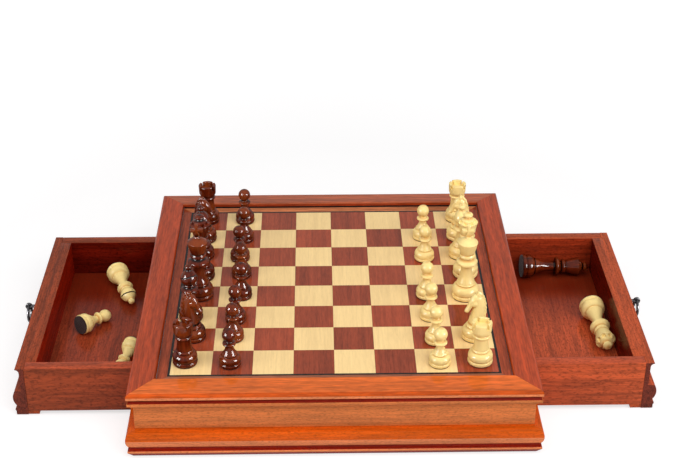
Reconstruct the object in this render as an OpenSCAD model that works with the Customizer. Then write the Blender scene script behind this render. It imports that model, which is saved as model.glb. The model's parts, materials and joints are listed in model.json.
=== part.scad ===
/* [Playing board] */
// Side of one playing square
square = 38; // [32:0.5:50]
// Thickness of the inlaid veneers
veneer_t = 0.8; // [0.5:0.1:2]
// Glue line left between neighbouring veneers
veneer_gap = 0.1; // [0.05:0.05:0.3]
// Glue line left in the mitres of the veneer and cornice strips
mitre_gap = 0.1; // [0.05:0.05:0.3]
// Width of the black line round the playing field
line_w = 2.2; // [1:0.1:5]
// Width of the dark border outside the black line
border_w = 9.3; // [5:0.1:20]
// Thickness of the panel under the veneers
core_t = 11.2; // [9.4:0.2:16]
// Width of the seat that the panel has on the case walls
core_seat = 6.2; // [4:0.1:7]

/* [Frame] */
// Width of a frame rail, from the board to its outer edge
rail_w = 25.1; // [22:0.1:40]
// Height of the frame's inner lip above the squares
lip_rise = 5.5; // [3.5:0.1:8]
// How far the inner lip leans back from the board
lip_lean = 0.5; // [0:0.1:5]
// Radius of the inner lip's edge
lip_round = 1.5; // [0.5:0.1:2.5]
// How far the rail's top falls towards its outer edge
crown_fall = 1.4; // [0:0.1:2]
// Radius of the rail's outer top edge
edge_round = 3.2; // [1:0.1:4]
// Width of the small bevel under the rail's outer edge
edge_bevel = 0.4; // [0.2:0.1:0.6]
// How far the frame stands out past the case walls
frame_overhang = 5.4; // [4:0.1:8]
// Height of the shadow line between the frame and the cornice
shadow_line = 1.9; // [1:0.1:2.4]

/* [Case] */
// Height of the case walls, from the floor to the board panel
wall_h = 54; // [48:0.5:70]
// Thickness of the case walls and of the drawer fronts at the frieze
wall_t = 18; // [16:0.5:20]
// Height of the cornice strips
cornice_h = 8; // [6:0.1:9]
// How far the cornice stands out past the frieze
cornice_out = 5; // [3:0.1:6]
// Height of the upright nose of the cornice
cornice_nose = 2; // [1:0.1:2.5]
// Radius of the cove under the cornice
cove_r = 3; // [2:0.1:3.4]
// Thickness of the bottom panel
panel_t = 3.5; // [3:0.5:6]
// Height of the bottom panel above the floor
panel_lift = 1; // [0.5:0.1:3]
// Thickness of the board between the two drawers
divider_t = 12; // [8:0.5:14]

/* [Base moulding] */
// Height of the ledge where the frieze meets the moulding
ledge_z = 28; // [26:0.5:34]
// How far the round of the moulding stands out past the frieze
round_out = 8.6; // [7.5:0.1:12]
// Radius of the round of the moulding
round_r = 14; // [12:0.5:20]
// Height of the lower edge of the round
round_foot_z = 12.2; // [11.6:0.1:14]
// How far the step under the round stands out past the frieze
step_out = 5.4; // [4:0.1:6]
// Radius of the bead under the step
bead_r = 2.2; // [1.5:0.1:2.4]
// Height of the middle of the bead
bead_z = 7; // [6:0.1:8]
// How far the bottom edge stands out past the frieze
foot_out = 3; // [1:0.1:4]

/* [Drawers] */
// Outer width of a drawer
drawer_w = 247; // [220:1:280]
// Thickness of the drawer sides and back
drawer_side_t = 12; // [8:0.5:14]
// Thickness of the drawer bottom
drawer_floor_t = 4; // [3:0.5:6]
// Height of the drawer bottom's underside above the sides' lower edges
floor_lift = 5.7; // [2:0.1:8]
// Depth of the grooves that hold the drawer bottom
groove_depth = 4; // [2:0.5:6]
// Thickness of drawer front left in front of the drawer sides
front_cover = 4.5; // [2:0.1:6]
// Height of a drawer front's lower edge above the floor
front_lift = 1; // [0.5:0.1:3]
// Radius of the cove under a drawer front's top edge
nose_cove = 3.6; // [2:0.1:4]
// Height of the upright edge above that cove
nose_edge = 0.8; // [0.5:0.1:1.5]
// How far the left drawer stands open
left_open = 114.5; // [0:0.5:135]
// How far the right drawer stands open
right_open = 117.5; // [0:0.5:135]
// Width of a drawer guide
guide_w = 10; // [6:0.5:14]
// Height of a drawer guide
guide_h = 24; // [12:0.5:32]

/* [Ring pulls] */
// How far the ring's pivot lies below the drawer front's upper edge
pull_drop = 9.2; // [8.8:0.1:10.4]
// Diameter of the plate on the drawer front
plate_d = 9.4; // [7:0.1:9.6]
// Thickness of the plate
plate_t = 1.6; // [1:0.1:3]
// Diameter of the stem that carries the eye
stem_d = 3.4; // [2.5:0.1:4]
// Gap between the hanging ring and the round of the moulding
pull_gap = 2.2; // [1.5:0.1:6]
// Thickness of the metal round the wire in the eye
eye_wall = 1.7; // [1.2:0.1:2]
// Thickness of the eye
eye_t = 3; // [2:0.1:3.4]
// Diameter of the ring's wire
wire_d = 3; // [1.8:0.1:3.2]
// Diameter of the ring, between wire centres
ring_d = 16.8; // [15:0.1:18.5]

/* [Chess men] */
// Height of a king without its felt
king_h = 82; // [60:0.5:84]
// Base diameter of a king
king_d = 27; // [22:0.5:30]
// Height of a queen without its felt
queen_h = 72; // [56:0.5:76]
// Base diameter of a queen
queen_d = 25.6; // [20:0.1:26]
// Height of a bishop without its felt
bishop_h = 60; // [48:0.5:66]
// Base diameter of a bishop
bishop_d = 23.6; // [19:0.1:26]
// Height of a knight without its felt
knight_h = 51; // [42:0.5:58]
// Base diameter of a knight
knight_d = 23.6; // [19:0.1:26]
// Height of a rook without its felt
rook_h = 43.5; // [38:0.5:54]
// Base diameter of a rook
rook_d = 23.6; // [19:0.1:26]
// Height of a pawn without its felt
pawn_h = 38.5; // [30:0.5:44]
// Base diameter of a pawn
pawn_d = 20.6; // [17:0.1:23]
// Thickness of the felt under each man
felt_t = 1; // [0.5:0.1:2]
// How far the felt stays inside the edge of the base
felt_inset = 0.6; // [0.3:0.1:2]
// Width of the slit in a bishop's mitre
slit_w = 1.2; // [0.8:0.1:2]
// Width of the notches in a rook's parapet
notch_w = 3; // [2:0.1:4]
// Width across the arms of a king's cross
cross_w = 13; // [8:0.5:15]
// Thickness of a king's cross
cross_t = 4.4; // [3:0.1:6]
// Diameter of the notches in a queen's coronet
notch_d = 4; // [3:0.1:4.6]

/* [Fits] */
// Clearance on each side of a drawer in its opening
side_fit = 0.5; // [0.3:0.1:1]
// Clearance under a drawer
run_fit = 0.3; // [0.2:0.1:0.5]
// Clearance over a drawer
top_fit = 0.4; // [0.3:0.1:1.5]
// Clearance between the inside of a closed drawer front and the edge of the bottom panel
front_fit = 3.1; // [0.2:0.1:4]
// Clearance behind a closed drawer
back_fit = 2; // [1:0.1:4]
// Clearance round the edges of panels in their seats
panel_fit = 0.2; // [0.1:0.1:0.4]
// Clearance round the ring's wire in the eye
eye_fit = 0.3; // [0.25:0.05:0.5]
// Clearance under a man that stands or lies
seat_fit = 0.05; // [0.05:0.05:0.2]
// Clearance under a man that lies in a drawer
lie_fit = 0.3; // [0.2:0.1:0.5]
// Glue line between a man and its felt
glue_line = 0.05; // [0.02:0.01:0.1]

/* [Hidden] */
$fn = 64;
squares_a_side = 8;

// Plan sizes, measured outwards from the middle of the board
field_half = squares_a_side * square / 2;
line_half = field_half + line_w;
lip_half = line_half + border_w;
edge_half = lip_half + rail_w;
case_half = edge_half - frame_overhang;
inner_half = case_half - wall_t;
core_half = inner_half + core_seat;
cornice_inner = core_half + panel_fit;

// Heights, measured up from the floor
core_top = wall_h + core_t;
board_z = core_top + veneer_t;
cornice_top = wall_h + cornice_h;
panel_top = panel_lift + panel_t;
rail_under = cornice_top + shadow_line;

// Drawer sizes, for the drawer on the +X side when it is shut
drawer_half = drawer_w / 2;
opening_half = drawer_half + side_fit;
drawer_inner = drawer_half - drawer_side_t;
drawer_low = panel_top + run_fit;
drawer_top = wall_h - top_fit;
floor_low = drawer_low + floor_lift;
floor_top = floor_low + drawer_floor_t;
front_inner = inner_half + front_fit;
sides_end = case_half - front_cover;
back_outer = divider_t / 2 + back_fit;

// Ring pull sizes: height of the pivot, its distance from the frieze, and the eye's diameter
pull_z = drawer_top - pull_drop;
pull_out = round_out + pull_gap + wire_d / 2;
eye_d = wire_d + 2 * (eye_fit + eye_wall);

// Longer than anything it cuts
far = 4 * edge_half;
// How far a cutting shape passes the face that it cuts
cut = 1;
// Small upright step that parts the rounds of the moulding
quirk = 0.2;

// Colours
FRAME_RED = "#b0482a";
FRIEZE_TAN = "#c0764a";
DARK_VENEER = "#6e3030";
LIGHT_VENEER = "#f0d494";
INLAY_BLACK = "#1c1614";
DRAWER_RED = "#8a3a22";
DRAWER_INSIDE = "#7a2414";
PLYWOOD = "#c8a070";
PULL_BLACK = "#1a1a1c";
DARK_MAN = "#5c2414";
LIGHT_MAN = "#efd292";
FELT = "#2a1c18";

// Points on an arc round a centre, from one angle to another
function arc(centre, r, from, to, steps) =
    [for (i = [0 : steps]) let (a = from + (to - from) * i / steps) centre + r * [cos(a), sin(a)]];

// A half-round standing out from a turned surface, from height z0 to z1
function bead(r, out, z0, z1, steps = 6) =
    [for (i = [0 : steps]) [r + out * sin(180 * i / steps), z0 + (z1 - z0) * (1 - cos(180 * i / steps)) / 2]];

// A sweep between two points of a turned surface, drawn in by sag half-way
function sweep(from, to, sag, steps = 8) =
    [for (i = [0 : steps]) let (t = i / steps) from + (to - from) * t - [sag * sin(180 * t), 0]];

// Section of a frame rail, as distance from the middle and height
function rail_section() = concat(
    [[cornice_inner, cornice_top], [cornice_inner, core_top], [lip_half, core_top], [lip_half, board_z]],
    arc([lip_half + lip_lean + lip_round, board_z + lip_rise - lip_round], lip_round, 165, 90, 5),
    arc([edge_half - edge_round, board_z + lip_rise - crown_fall - edge_round], edge_round, 88, 0, 8),
    [[edge_half, rail_under + edge_bevel], [edge_half - edge_bevel, rail_under]],
    [[case_half, rail_under], [case_half, cornice_top]]
);

// Section of a cornice strip
function cornice_section() = concat(
    [[cornice_inner, cornice_top], [cornice_inner, wall_h], [case_half + cornice_out - cove_r, wall_h]],
    arc([case_half + cornice_out, wall_h], cove_r, 170, 90, 6),
    [[case_half + cornice_out, wall_h + cove_r + cornice_nose]],
    [[case_half + cornice_out / 2, cornice_top]]
);

// Outline of the base moulding and frieze, outside only, from the floor up to a given height
function moulding(top) = let (
    round_centre = [case_half + round_out - round_r, (ledge_z + round_foot_z) / 2],
    swing = asin((ledge_z - round_foot_z) / 2 / round_r)
) concat(
    [[case_half + foot_out, 0]],
    arc([case_half + step_out, bead_z], bead_r, -50, 80, 7),
    [[case_half + step_out, bead_z + bead_r + quirk], [case_half + step_out, round_foot_z - quirk]],
    arc(round_centre, round_r, -swing, swing, 10),
    [[case_half, ledge_z + quirk], [case_half, top]]
);

// Outline of a drawer front, outside only: the moulding, the frieze and the nose along its top edge
function front_outline() = concat(
    moulding(drawer_top - nose_edge - nose_cove),
    arc([case_half + nose_cove, drawer_top - nose_edge - nose_cove], nose_cove, 170, 90, 6),
    [[case_half + nose_cove, drawer_top]]
);

// Section of a case wall
function wall_section() = concat([[inner_half, wall_h], [inner_half, 0]], moulding(wall_h));

// A bar with the given section along one side of the box, mitred at both ends
module mitred_bar(section, gap = 0) {
    intersection() {
        translate([-far / 2, 0, 0])
            rotate([90, 0, 90])
                linear_extrude(far)
                    polygon([for (p = section) [-p[0], p[1]]]);
        translate([0, -gap / 2, -cut])
            linear_extrude(far)
                polygon([[0, 0], [far, -far], [-far, -far]]);
    }
}

// Turns a front piece round to the right, back or left side
module on_side(quarter_turns) {
    rotate([0, 0, 90 * quarter_turns])
        children();
}

module frame_rail(quarter_turns) {
    color(FRAME_RED)
        on_side(quarter_turns)
            mitred_bar(rail_section());
}

module frame_rail_front() {
    frame_rail(0);
}

module frame_rail_right() {
    frame_rail(1);
}

module frame_rail_back() {
    frame_rail(2);
}

module frame_rail_left() {
    frame_rail(3);
}

module board_core() {
    color(PLYWOOD)
        translate([-core_half, -core_half, wall_h])
            cube([2 * core_half, 2 * core_half, core_t]);
}

// The squares of one shade: parity 0 holds the front left square
module veneer_squares(parity) {
    side = square - veneer_gap;
    for (column = [0 : squares_a_side - 1])
        for (row = [0 : squares_a_side - 1])
            if ((column + row) % 2 == parity)
                translate([
                    column * square - field_half + veneer_gap / 2,
                    row * square - field_half + veneer_gap / 2,
                    core_top
                ])
                    cube([side, side, veneer_t]);
}

module light_squares() {
    color(LIGHT_VENEER)
        veneer_squares(0);
}

module dark_squares() {
    color(DARK_VENEER)
        veneer_squares(1);
}

module black_inlay_line() {
    color(INLAY_BLACK)
        for (turns = [0 : 3])
            on_side(turns)
                mitred_bar([
                    [field_half, core_top],
                    [line_half, core_top],
                    [line_half, board_z],
                    [field_half, board_z]
                ], mitre_gap);
}

module border_strips() {
    color(DARK_VENEER)
        for (turns = [0 : 3])
            on_side(turns)
                mitred_bar([
                    [line_half + veneer_gap, core_top],
                    [lip_half, core_top],
                    [lip_half, board_z],
                    [line_half + veneer_gap, board_z]
                ], mitre_gap);
}

module case_front() {
    color(FRIEZE_TAN)
        mitred_bar(wall_section());
}

module case_back() {
    color(FRIEZE_TAN)
        on_side(2)
            mitred_bar(wall_section());
}

// The moulded corner pieces on both sides of each drawer opening
module side_stiles() {
    color(FRIEZE_TAN)
        for (turns = [1, 3])
            on_side(turns)
                difference() {
                    mitred_bar(wall_section());
                    translate([-opening_half, -far / 2, -cut])
                        cube([2 * opening_half, far, wall_h + 2 * cut]);
                }
}

module cornice_strips() {
    color(FRIEZE_TAN)
        for (turns = [0 : 3])
            on_side(turns)
                mitred_bar(cornice_section(), mitre_gap);
}

module bottom_panel() {
    color(PLYWOOD)
        translate([-inner_half, -inner_half, panel_lift])
            cube([2 * inner_half, 2 * inner_half, panel_t]);
}

module centre_divider() {
    color(PLYWOOD)
        translate([-divider_t / 2, -inner_half, panel_top])
            cube([divider_t, 2 * inner_half, wall_h - panel_top]);
}

module drawer_guides() {
    color(PLYWOOD)
        for (x_side = [0, 1])
            for (y_side = [0, 1])
                mirror([x_side, 0, 0])
                    mirror([0, y_side, 0])
                        translate([divider_t / 2, opening_half, panel_top])
                            cube([inner_half - divider_t / 2, guide_w, guide_h]);
}

// How far the drawer on one side stands open
function opening(side) = side < 0 ? left_open : right_open;

// Places a piece of the right drawer, or its mirror image for the left one
module in_drawer(side) {
    mirror([side < 0 ? 1 : 0, 0, 0])
        translate([opening(side), 0, 0])
            children();
}

module drawer_front(side) {
    color(DRAWER_RED)
        in_drawer(side)
            difference() {
                intersection() {
                    translate([0, drawer_half, 0])
                        rotate([90, 0, 0])
                            linear_extrude(drawer_w)
                                polygon(concat([[front_inner, drawer_top], [front_inner, 0]], front_outline()));
                    translate([0, -drawer_half, front_lift])
                        cube([far, drawer_w, drawer_top - front_lift]);
                }
                for (y_side = [0, 1])
                    mirror([0, y_side, 0])
                        translate([front_inner - cut, drawer_inner, drawer_low])
                            cube([sides_end - front_inner + cut, drawer_side_t + cut, wall_h]);
                translate([front_inner - cut, -drawer_inner - cut, floor_low])
                    cube([groove_depth + cut, 2 * (drawer_inner + cut), drawer_floor_t]);
            }
}

// The two sides and the back of a drawer
module drawer_walls(side) {
    color(DRAWER_RED)
        in_drawer(side) {
            for (y_side = [0, 1])
                mirror([0, y_side, 0])
                    difference() {
                        translate([back_outer, drawer_inner, drawer_low])
                            cube([sides_end - back_outer, drawer_side_t, drawer_top - drawer_low]);
                        translate([back_outer - cut, drawer_inner - cut, floor_low])
                            cube([sides_end, groove_depth + cut, drawer_floor_t]);
                    }
            translate([back_outer, -drawer_inner + glue_line, floor_top])
                cube([drawer_side_t, 2 * (drawer_inner - glue_line), drawer_top - floor_top]);
        }
}

module drawer_bottom(side) {
    color(DRAWER_INSIDE)
        in_drawer(side)
            translate([back_outer, -drawer_inner - groove_depth + panel_fit, floor_low])
                cube([
                    front_inner + groove_depth - panel_fit - back_outer,
                    2 * (drawer_inner + groove_depth - panel_fit),
                    drawer_floor_t
                ]);
}

// The plate, stem and eye that carry the ring, cast in one
module pull_plate(side) {
    color(PULL_BLACK)
        in_drawer(side)
            translate([case_half, 0, pull_z])
                difference() {
                    union() {
                        rotate([0, 90, 0])
                            cylinder(h = plate_t, d = plate_d);
                        rotate([0, 90, 0])
                            cylinder(h = pull_out - wire_d / 2 - eye_fit, d = stem_d);
                        translate([pull_out, eye_t / 2, 0])
                            rotate([90, 0, 0])
                                cylinder(h = eye_t, d = eye_d);
                    }
                    translate([pull_out, eye_t, 0])
                        rotate([90, 0, 0])
                            cylinder(h = 2 * eye_t, d = wire_d + 2 * eye_fit);
                }
}

module pull_ring(side) {
    color(PULL_BLACK)
        in_drawer(side)
            translate([case_half + pull_out, 0, pull_z - ring_d / 2])
                rotate([0, 90, 0])
                    rotate_extrude()
                        translate([ring_d / 2, 0])
                            circle(d = wire_d);
}

// Turned foot that every man has, in shares of the base radius
FOOT = concat(
    bead(0.955, 0.045, 0, 0.27),
    [[0.925, 0.29], [0.925, 0.35]],
    [for (i = [0 : 3]) let (a = 90 * i / 4) [0.95 + 0.035 * sin(a), 0.37 + 0.185 * (1 - cos(a))]],
    [for (i = [0 : 8]) let (a = 86 * i / 8) [0.64 + 0.345 * cos(a), 0.555 + 0.445 * sin(a)]],
    bead(0.66, 0.05, 1.03, 1.2, 5)
);
FOOT_TOP = 1.22;
// Radius and level of the foot's ring that carries a lying man, in shares of the base radius
REST_R = 0.985;
REST_Z = 0.555;

// Turned upper parts: radius in shares of the base radius, level in shares of the height above the foot
PAWN_TOP = concat(
    sweep([0.64, 0], [0.34, 0.335], 0.07),
    bead(0.52, 0.1, 0.36, 0.445, 5),
    [[0.34, 0.485]],
    [for (i = [0 : 14]) let (a = -60 + 150 * i / 14) [0.62 * cos(a), 0.754 + 0.246 * sin(a)]]
);
WELL_LEVEL = 0.84;
ROOK_TOP = concat(
    sweep([0.63, 0.01], [0.56, 0.44], 0.03),
    bead(0.64, 0.06, 0.46, 0.53, 5),
    sweep([0.62, 0.555], [0.74, 0.65], 0, 2),
    [[0.77, 0.7], [0.79, 0.975], [0.76, 1], [0.54, 1], [0.52, WELL_LEVEL], [0, WELL_LEVEL]]
);
BISHOP_TOP = concat(
    sweep([0.64, 0.02], [0.36, 0.35], 0.09),
    bead(0.64, 0.08, 0.37, 0.42, 5),
    sweep([0.6, 0.43], [0.42, 0.475], 0.02, 3),
    bead(0.46, 0.06, 0.49, 0.54, 5),
    sweep([0.5, 0.55], [0.7, 0.65], -0.03, 4),
    sweep([0.7, 0.67], [0.22, 0.87], -0.1),
    [for (i = [0 : 7]) let (a = -45 + 135 * i / 7) [0.29 * cos(a), 0.934 + 0.066 * sin(a)]]
);
QUEEN_TOP = concat(
    sweep([0.65, 0.015], [0.4, 0.36], 0.1),
    bead(0.74, 0.06, 0.375, 0.425, 5),
    sweep([0.7, 0.435], [0.45, 0.485], 0.02, 3),
    bead(0.56, 0.05, 0.5, 0.555, 5),
    sweep([0.52, 0.57], [0.76, 0.79], -0.02, 5),
    [[0.79, 0.81], [0.77, 0.824]],
    sweep([0.68, 0.828], [0.3, 0.9], -0.03, 4),
    [for (i = [0 : 8]) let (a = -50 + 140 * i / 8) [0.38 * cos(a), 0.953 + 0.047 * sin(a)]]
);
KING_TOP = concat(
    sweep([0.65, 0.015], [0.4, 0.315], 0.1),
    bead(0.72, 0.06, 0.325, 0.375, 5),
    sweep([0.68, 0.38], [0.44, 0.425], 0.02, 3),
    bead(0.54, 0.05, 0.44, 0.485, 5),
    sweep([0.5, 0.5], [0.72, 0.67], -0.02, 5),
    [[0.75, 0.685], [0.73, 0.7]],
    sweep([0.66, 0.705], [0.22, 0.765], -0.04, 4),
    [[0.18, 0.79], [0, 0.79]]
);

// Side view of a horse's head that looks towards +X, in the same shares
HORSE = [
    [-0.62, -0.02], [-0.8, 0.13], [-0.86, 0.34], [-0.8, 0.55], [-0.64, 0.745], [-0.4, 0.895], [-0.2, 0.94],
    [-0.1, 1], [0.04, 0.925], [0.2, 0.865], [0.42, 0.73], [0.7, 0.565], [0.92, 0.43], [0.93, 0.32],
    [0.8, 0.25], [0.62, 0.28], [0.5, 0.34], [0.3, 0.355], [0.2, 0.31], [0.34, 0.19], [0.5, 0.07], [0.58, -0.02]
];

// Half the thickness of the horse's head, from its chest up to its ears
HORSE_WIDTH = [[0.56, -0.05], [0.5, 0.25], [0.42, 0.55], [0.34, 0.85], [0.16, 1.02]];

// Level of the bishop's slit on the man's axis, and how steeply it is cut
SLIT_LEVEL = 0.7;
SLIT_TILT = 25;
// Level of the middle of the notches round the queen's coronet, and the radius where they start
CORONET_LEVEL = 0.845;
CORONET_HOLLOW = 0.53;
// Level of the foot of the king's cross, and the level of its arms in shares of its own height
CROSS_LEVEL = 0.777;
CROSS_MIDDLE = 0.52;
// Width of the cross at its middle, at its foot and at its ends, in shares of its span
CROSS_WAIST = 0.17;
CROSS_FOOT = 0.4;
CROSS_FLARE = 0.29;

// Height above the floor it stands on of a level on a man of base diameter d and height h
function level(share, d, h) = felt_t + FOOT_TOP * d / 2 + share * (h - FOOT_TOP * d / 2);

// Outline of a turned man from its base up to its tip
function man_outline(top, d, h) = concat(
    [[0, felt_t + glue_line]],
    [for (p = FOOT) [p[0] * d / 2, p[1] * d / 2 + felt_t + glue_line]],
    [for (p = top) [p[0] * d / 2, level(p[1], d, h)]]
);

// A turned man standing on its felt at the origin
module turned_man(top, d, h) {
    rotate_extrude()
        polygon(concat(man_outline(top, d, h), [[0, level(top[len(top) - 1][1], d, h)]]));
}

module felt_disc(d) {
    color(FELT)
        cylinder(h = felt_t, d = d - 2 * felt_inset);
}

module pawn() {
    turned_man(PAWN_TOP, pawn_d, pawn_h);
}

// The parapet has four notches round a shallow well
module rook() {
    difference() {
        rotate_extrude()
            polygon(man_outline(ROOK_TOP, rook_d, rook_h));
        for (turn = [0, 90])
            rotate([0, 0, turn])
                translate([-rook_d / 2, -notch_w / 2, level(WELL_LEVEL, rook_d, rook_h)])
                    cube([rook_d, notch_w, rook_h]);
    }
}

// The mitre is cut by a slanting slit on one side
module bishop() {
    difference() {
        turned_man(BISHOP_TOP, bishop_d, bishop_h);
        translate([0, 0, level(SLIT_LEVEL, bishop_d, bishop_h)])
            rotate([0, -SLIT_TILT, 0])
                translate([0, -bishop_d / 2, -slit_w / 2])
                    cube([bishop_d / 2, bishop_d, slit_w]);
    }
}

// The coronet has eight round notches in its rim
module queen() {
    notches = 8;
    difference() {
        turned_man(QUEEN_TOP, queen_d, queen_h);
        for (i = [0 : notches - 1])
            rotate([0, 0, 360 * (i + 0.5) / notches])
                translate([CORONET_HOLLOW * queen_d / 2, 0, level(CORONET_LEVEL, queen_d, queen_h)])
                    rotate([0, 90, 0])
                        cylinder(h = queen_d / 4, d = notch_d);
    }
}

// One half of the outline of the king's cross, from its foot up to its tip
function cross_half(h) = let (
    middle = CROSS_MIDDLE * h,
    waist = CROSS_WAIST * cross_w / 2,
    flare = CROSS_FLARE * cross_w / 2
) [
    [CROSS_FOOT * cross_w / 2, 0], [waist, middle - waist], [cross_w / 2, middle - flare],
    [cross_w / 2, middle + flare], [waist, middle + waist], [flare, h]
];

// The king wears a cross with flared arms
module king() {
    cross_z = level(CROSS_LEVEL, king_d, king_h);
    half = cross_half(level(1, king_d, king_h) - cross_z);
    union() {
        turned_man(KING_TOP, king_d, king_h);
        translate([0, cross_t / 2, cross_z])
            rotate([90, 0, 0])
                linear_extrude(cross_t)
                    polygon(concat(half, [for (i = [1 : len(half)]) let (p = half[len(half) - i]) [-p[0], p[1]]]));
    }
}

// The knight's head is carved between its side view and its front view
module knight() {
    r = knight_d / 2;
    neck_top = FOOT_TOP + 0.05;
    union() {
        rotate_extrude()
            polygon(concat(
                [[0, felt_t + glue_line]],
                [for (p = FOOT) p * r + [0, felt_t + glue_line]],
                [[0.62 * r, neck_top * r + felt_t], [0, neck_top * r + felt_t]]
            ));
        intersection() {
            translate([0, r, 0])
                rotate([90, 0, 0])
                    linear_extrude(2 * r)
                        polygon([for (p = HORSE) [p[0] * r, level(p[1], knight_d, knight_h)]]);
            translate([-r, 0, 0])
                rotate([90, 0, 90])
                    linear_extrude(2 * r)
                        polygon(concat(
                            [for (p = HORSE_WIDTH) [p[0] * r, level(p[1], knight_d, knight_h)]],
                            [for (i = [1 : len(HORSE_WIDTH)])
                                let (p = HORSE_WIDTH[len(HORSE_WIDTH) - i])
                                [-p[0] * r, level(p[1], knight_d, knight_h)]]
                        ));
        }
    }
}

// One man of the named kind, with its felt
module man(kind, dark) {
    d = base_of(kind);
    color(dark ? DARK_MAN : LIGHT_MAN) {
        if (kind == "pawn")
            pawn();
        if (kind == "rook")
            rook();
        if (kind == "knight")
            knight();
        if (kind == "bishop")
            bishop();
        if (kind == "queen")
            queen();
        if (kind == "king")
            king();
    }
    felt_disc(d);
}

function base_of(kind) =
    kind == "pawn" ? pawn_d :
    kind == "rook" ? rook_d :
    kind == "knight" ? knight_d :
    kind == "bishop" ? bishop_d :
    kind == "queen" ? queen_d : king_d;

// The kinds of men that lie in the drawers
function lying_top(kind) = kind == "pawn" ? PAWN_TOP : kind == "bishop" ? BISHOP_TOP : QUEEN_TOP;
function lying_height(kind) = kind == "pawn" ? pawn_h : kind == "bishop" ? bishop_h : queen_h;

// How far a lying man's axis dips to its head, when it rests on its foot and on the next ring that touches
function lying_dip(kind) = let (d = base_of(kind), foot_z = felt_t + REST_Z * d / 2) min([
    for (p = lying_top(kind)) atan((REST_R - p[0]) * d / 2 / (level(p[1], d, lying_height(kind)) - foot_z))
]);

// Men on the board: name, kind, dark, column and row counted from the front left square,
// how far the man stands off the middle of its square in X and Y, and how far it is turned
BOARD_MEN = [
    ["dark_rook_1", "rook", true, 0, 0, -6, 1, 20],
    ["dark_knight_1", "knight", true, 0, 1, -1.5, 4, -20],
    ["dark_bishop_1", "bishop", true, 0, 2, -6, 0, -60],
    ["dark_king", "king", true, 0, 3, 0, 2, 0],
    ["dark_queen", "queen", true, 0, 4, 0, 0, 0],
    ["dark_bishop_2", "bishop", true, 0, 5, -2, 2, 150],
    ["dark_knight_2", "knight", true, 0, 6, -2, 0, -15],
    ["dark_rook_2", "rook", true, 0, 7, -1, 3, 45],
    ["dark_pawn_1", "pawn", true, 1, 0, -2, -3, 0],
    ["dark_pawn_2", "pawn", true, 1, 1, -1, 2, 0],
    ["dark_pawn_3", "pawn", true, 1, 2, 0, -5, 0],
    ["dark_pawn_4", "pawn", true, 1, 3, 4, 0, 0],
    ["dark_pawn_5", "pawn", true, 1, 4, 2, 2, 0],
    ["dark_pawn_6", "pawn", true, 1, 5, -1, -3, 0],
    ["dark_pawn_7", "pawn", true, 1, 6, 2, -1, 0],
    ["dark_pawn_8", "pawn", true, 1, 7, 1, 1, 0],
    ["light_pawn_1", "pawn", false, 6, 0, 3, -5, 0],
    ["light_pawn_2", "pawn", false, 6, 1, 2, -6, 0],
    ["light_pawn_3", "pawn", false, 6, 2, 0, -3, 0],
    ["light_pawn_4", "pawn", false, 6, 3, -1, -2, 0],
    ["light_pawn_5", "pawn", false, 6, 5, 2, -6, 0],
    ["light_pawn_6", "pawn", false, 6, 6, 3, 0, 0],
    ["light_rook_1", "rook", false, 7, 0, 3, -2.5, 30],
    ["light_knight_1", "knight", false, 7, 1, 1.5, 0, 190],
    ["light_king", "king", false, 7, 3, 0, -3, 0],
    ["light_queen", "queen", false, 7, 4, 4, 0, 0],
    ["light_bishop_1", "bishop", false, 7, 5, 2, 0, 30],
    ["light_knight_2", "knight", false, 7, 6, 3, 0, 170],
    ["light_rook_2", "rook", false, 7, 7, 5, 2, 45]
];

// Men lying in the drawers: name, kind, dark, drawer side, distance of the base from the inside of
// the drawer front and from the inside of the back side, direction of the axis, and roll about it
DRAWER_MEN = [
    ["light_bishop_2", "bishop", false, -1, 49.3, 15.5, -68, 180],
    ["light_pawn_7", "pawn", false, -1, 24.3, 119.5, 48, 0],
    ["light_pawn_8", "pawn", false, -1, 83.2, 153.5, -108, 0],
    ["spare_dark_queen", "queen", true, 1, 78.3, 14.5, 2.5, 0],
    ["spare_light_queen", "queen", false, 1, 15.4, 93, -86, 0]
];

module board_man(entry) {
    middle = (squares_a_side - 1) / 2;
    translate([
        (entry[3] - middle) * square + entry[5],
        (entry[4] - middle) * square + entry[6],
        board_z + seat_fit
    ])
        rotate([0, 0, entry[7]])
            man(entry[1], entry[2]);
}

// A lying man rests with its axis almost level
module drawer_man(entry) {
    r = base_of(entry[1]) / 2;
    dip = lying_dip(entry[1]);
    translate([
        entry[3] * (front_inner + opening(entry[3]) - entry[4]),
        drawer_inner - entry[5],
        floor_top + lie_fit + REST_R * r * cos(dip) + (felt_t + REST_Z * r) * sin(dip)
    ])
        rotate([0, 0, entry[6]])
            rotate([0, 90 + dip, 0])
                rotate([0, 0, entry[7]])
                    man(entry[1], entry[2]);
}

CASE_NODES = [
    "frame_rail_front", "frame_rail_back", "frame_rail_left", "frame_rail_right",
    "board_core", "light_squares", "dark_squares", "black_inlay_line", "border_strips",
    "case_front", "case_back", "side_stiles", "cornice_strips", "bottom_panel",
    "centre_divider", "drawer_guides",
    "left_drawer_front", "left_drawer_walls", "left_drawer_bottom", "left_pull_plate", "left_pull_ring",
    "right_drawer_front", "right_drawer_walls", "right_drawer_bottom", "right_pull_plate", "right_pull_ring"
];

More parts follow.
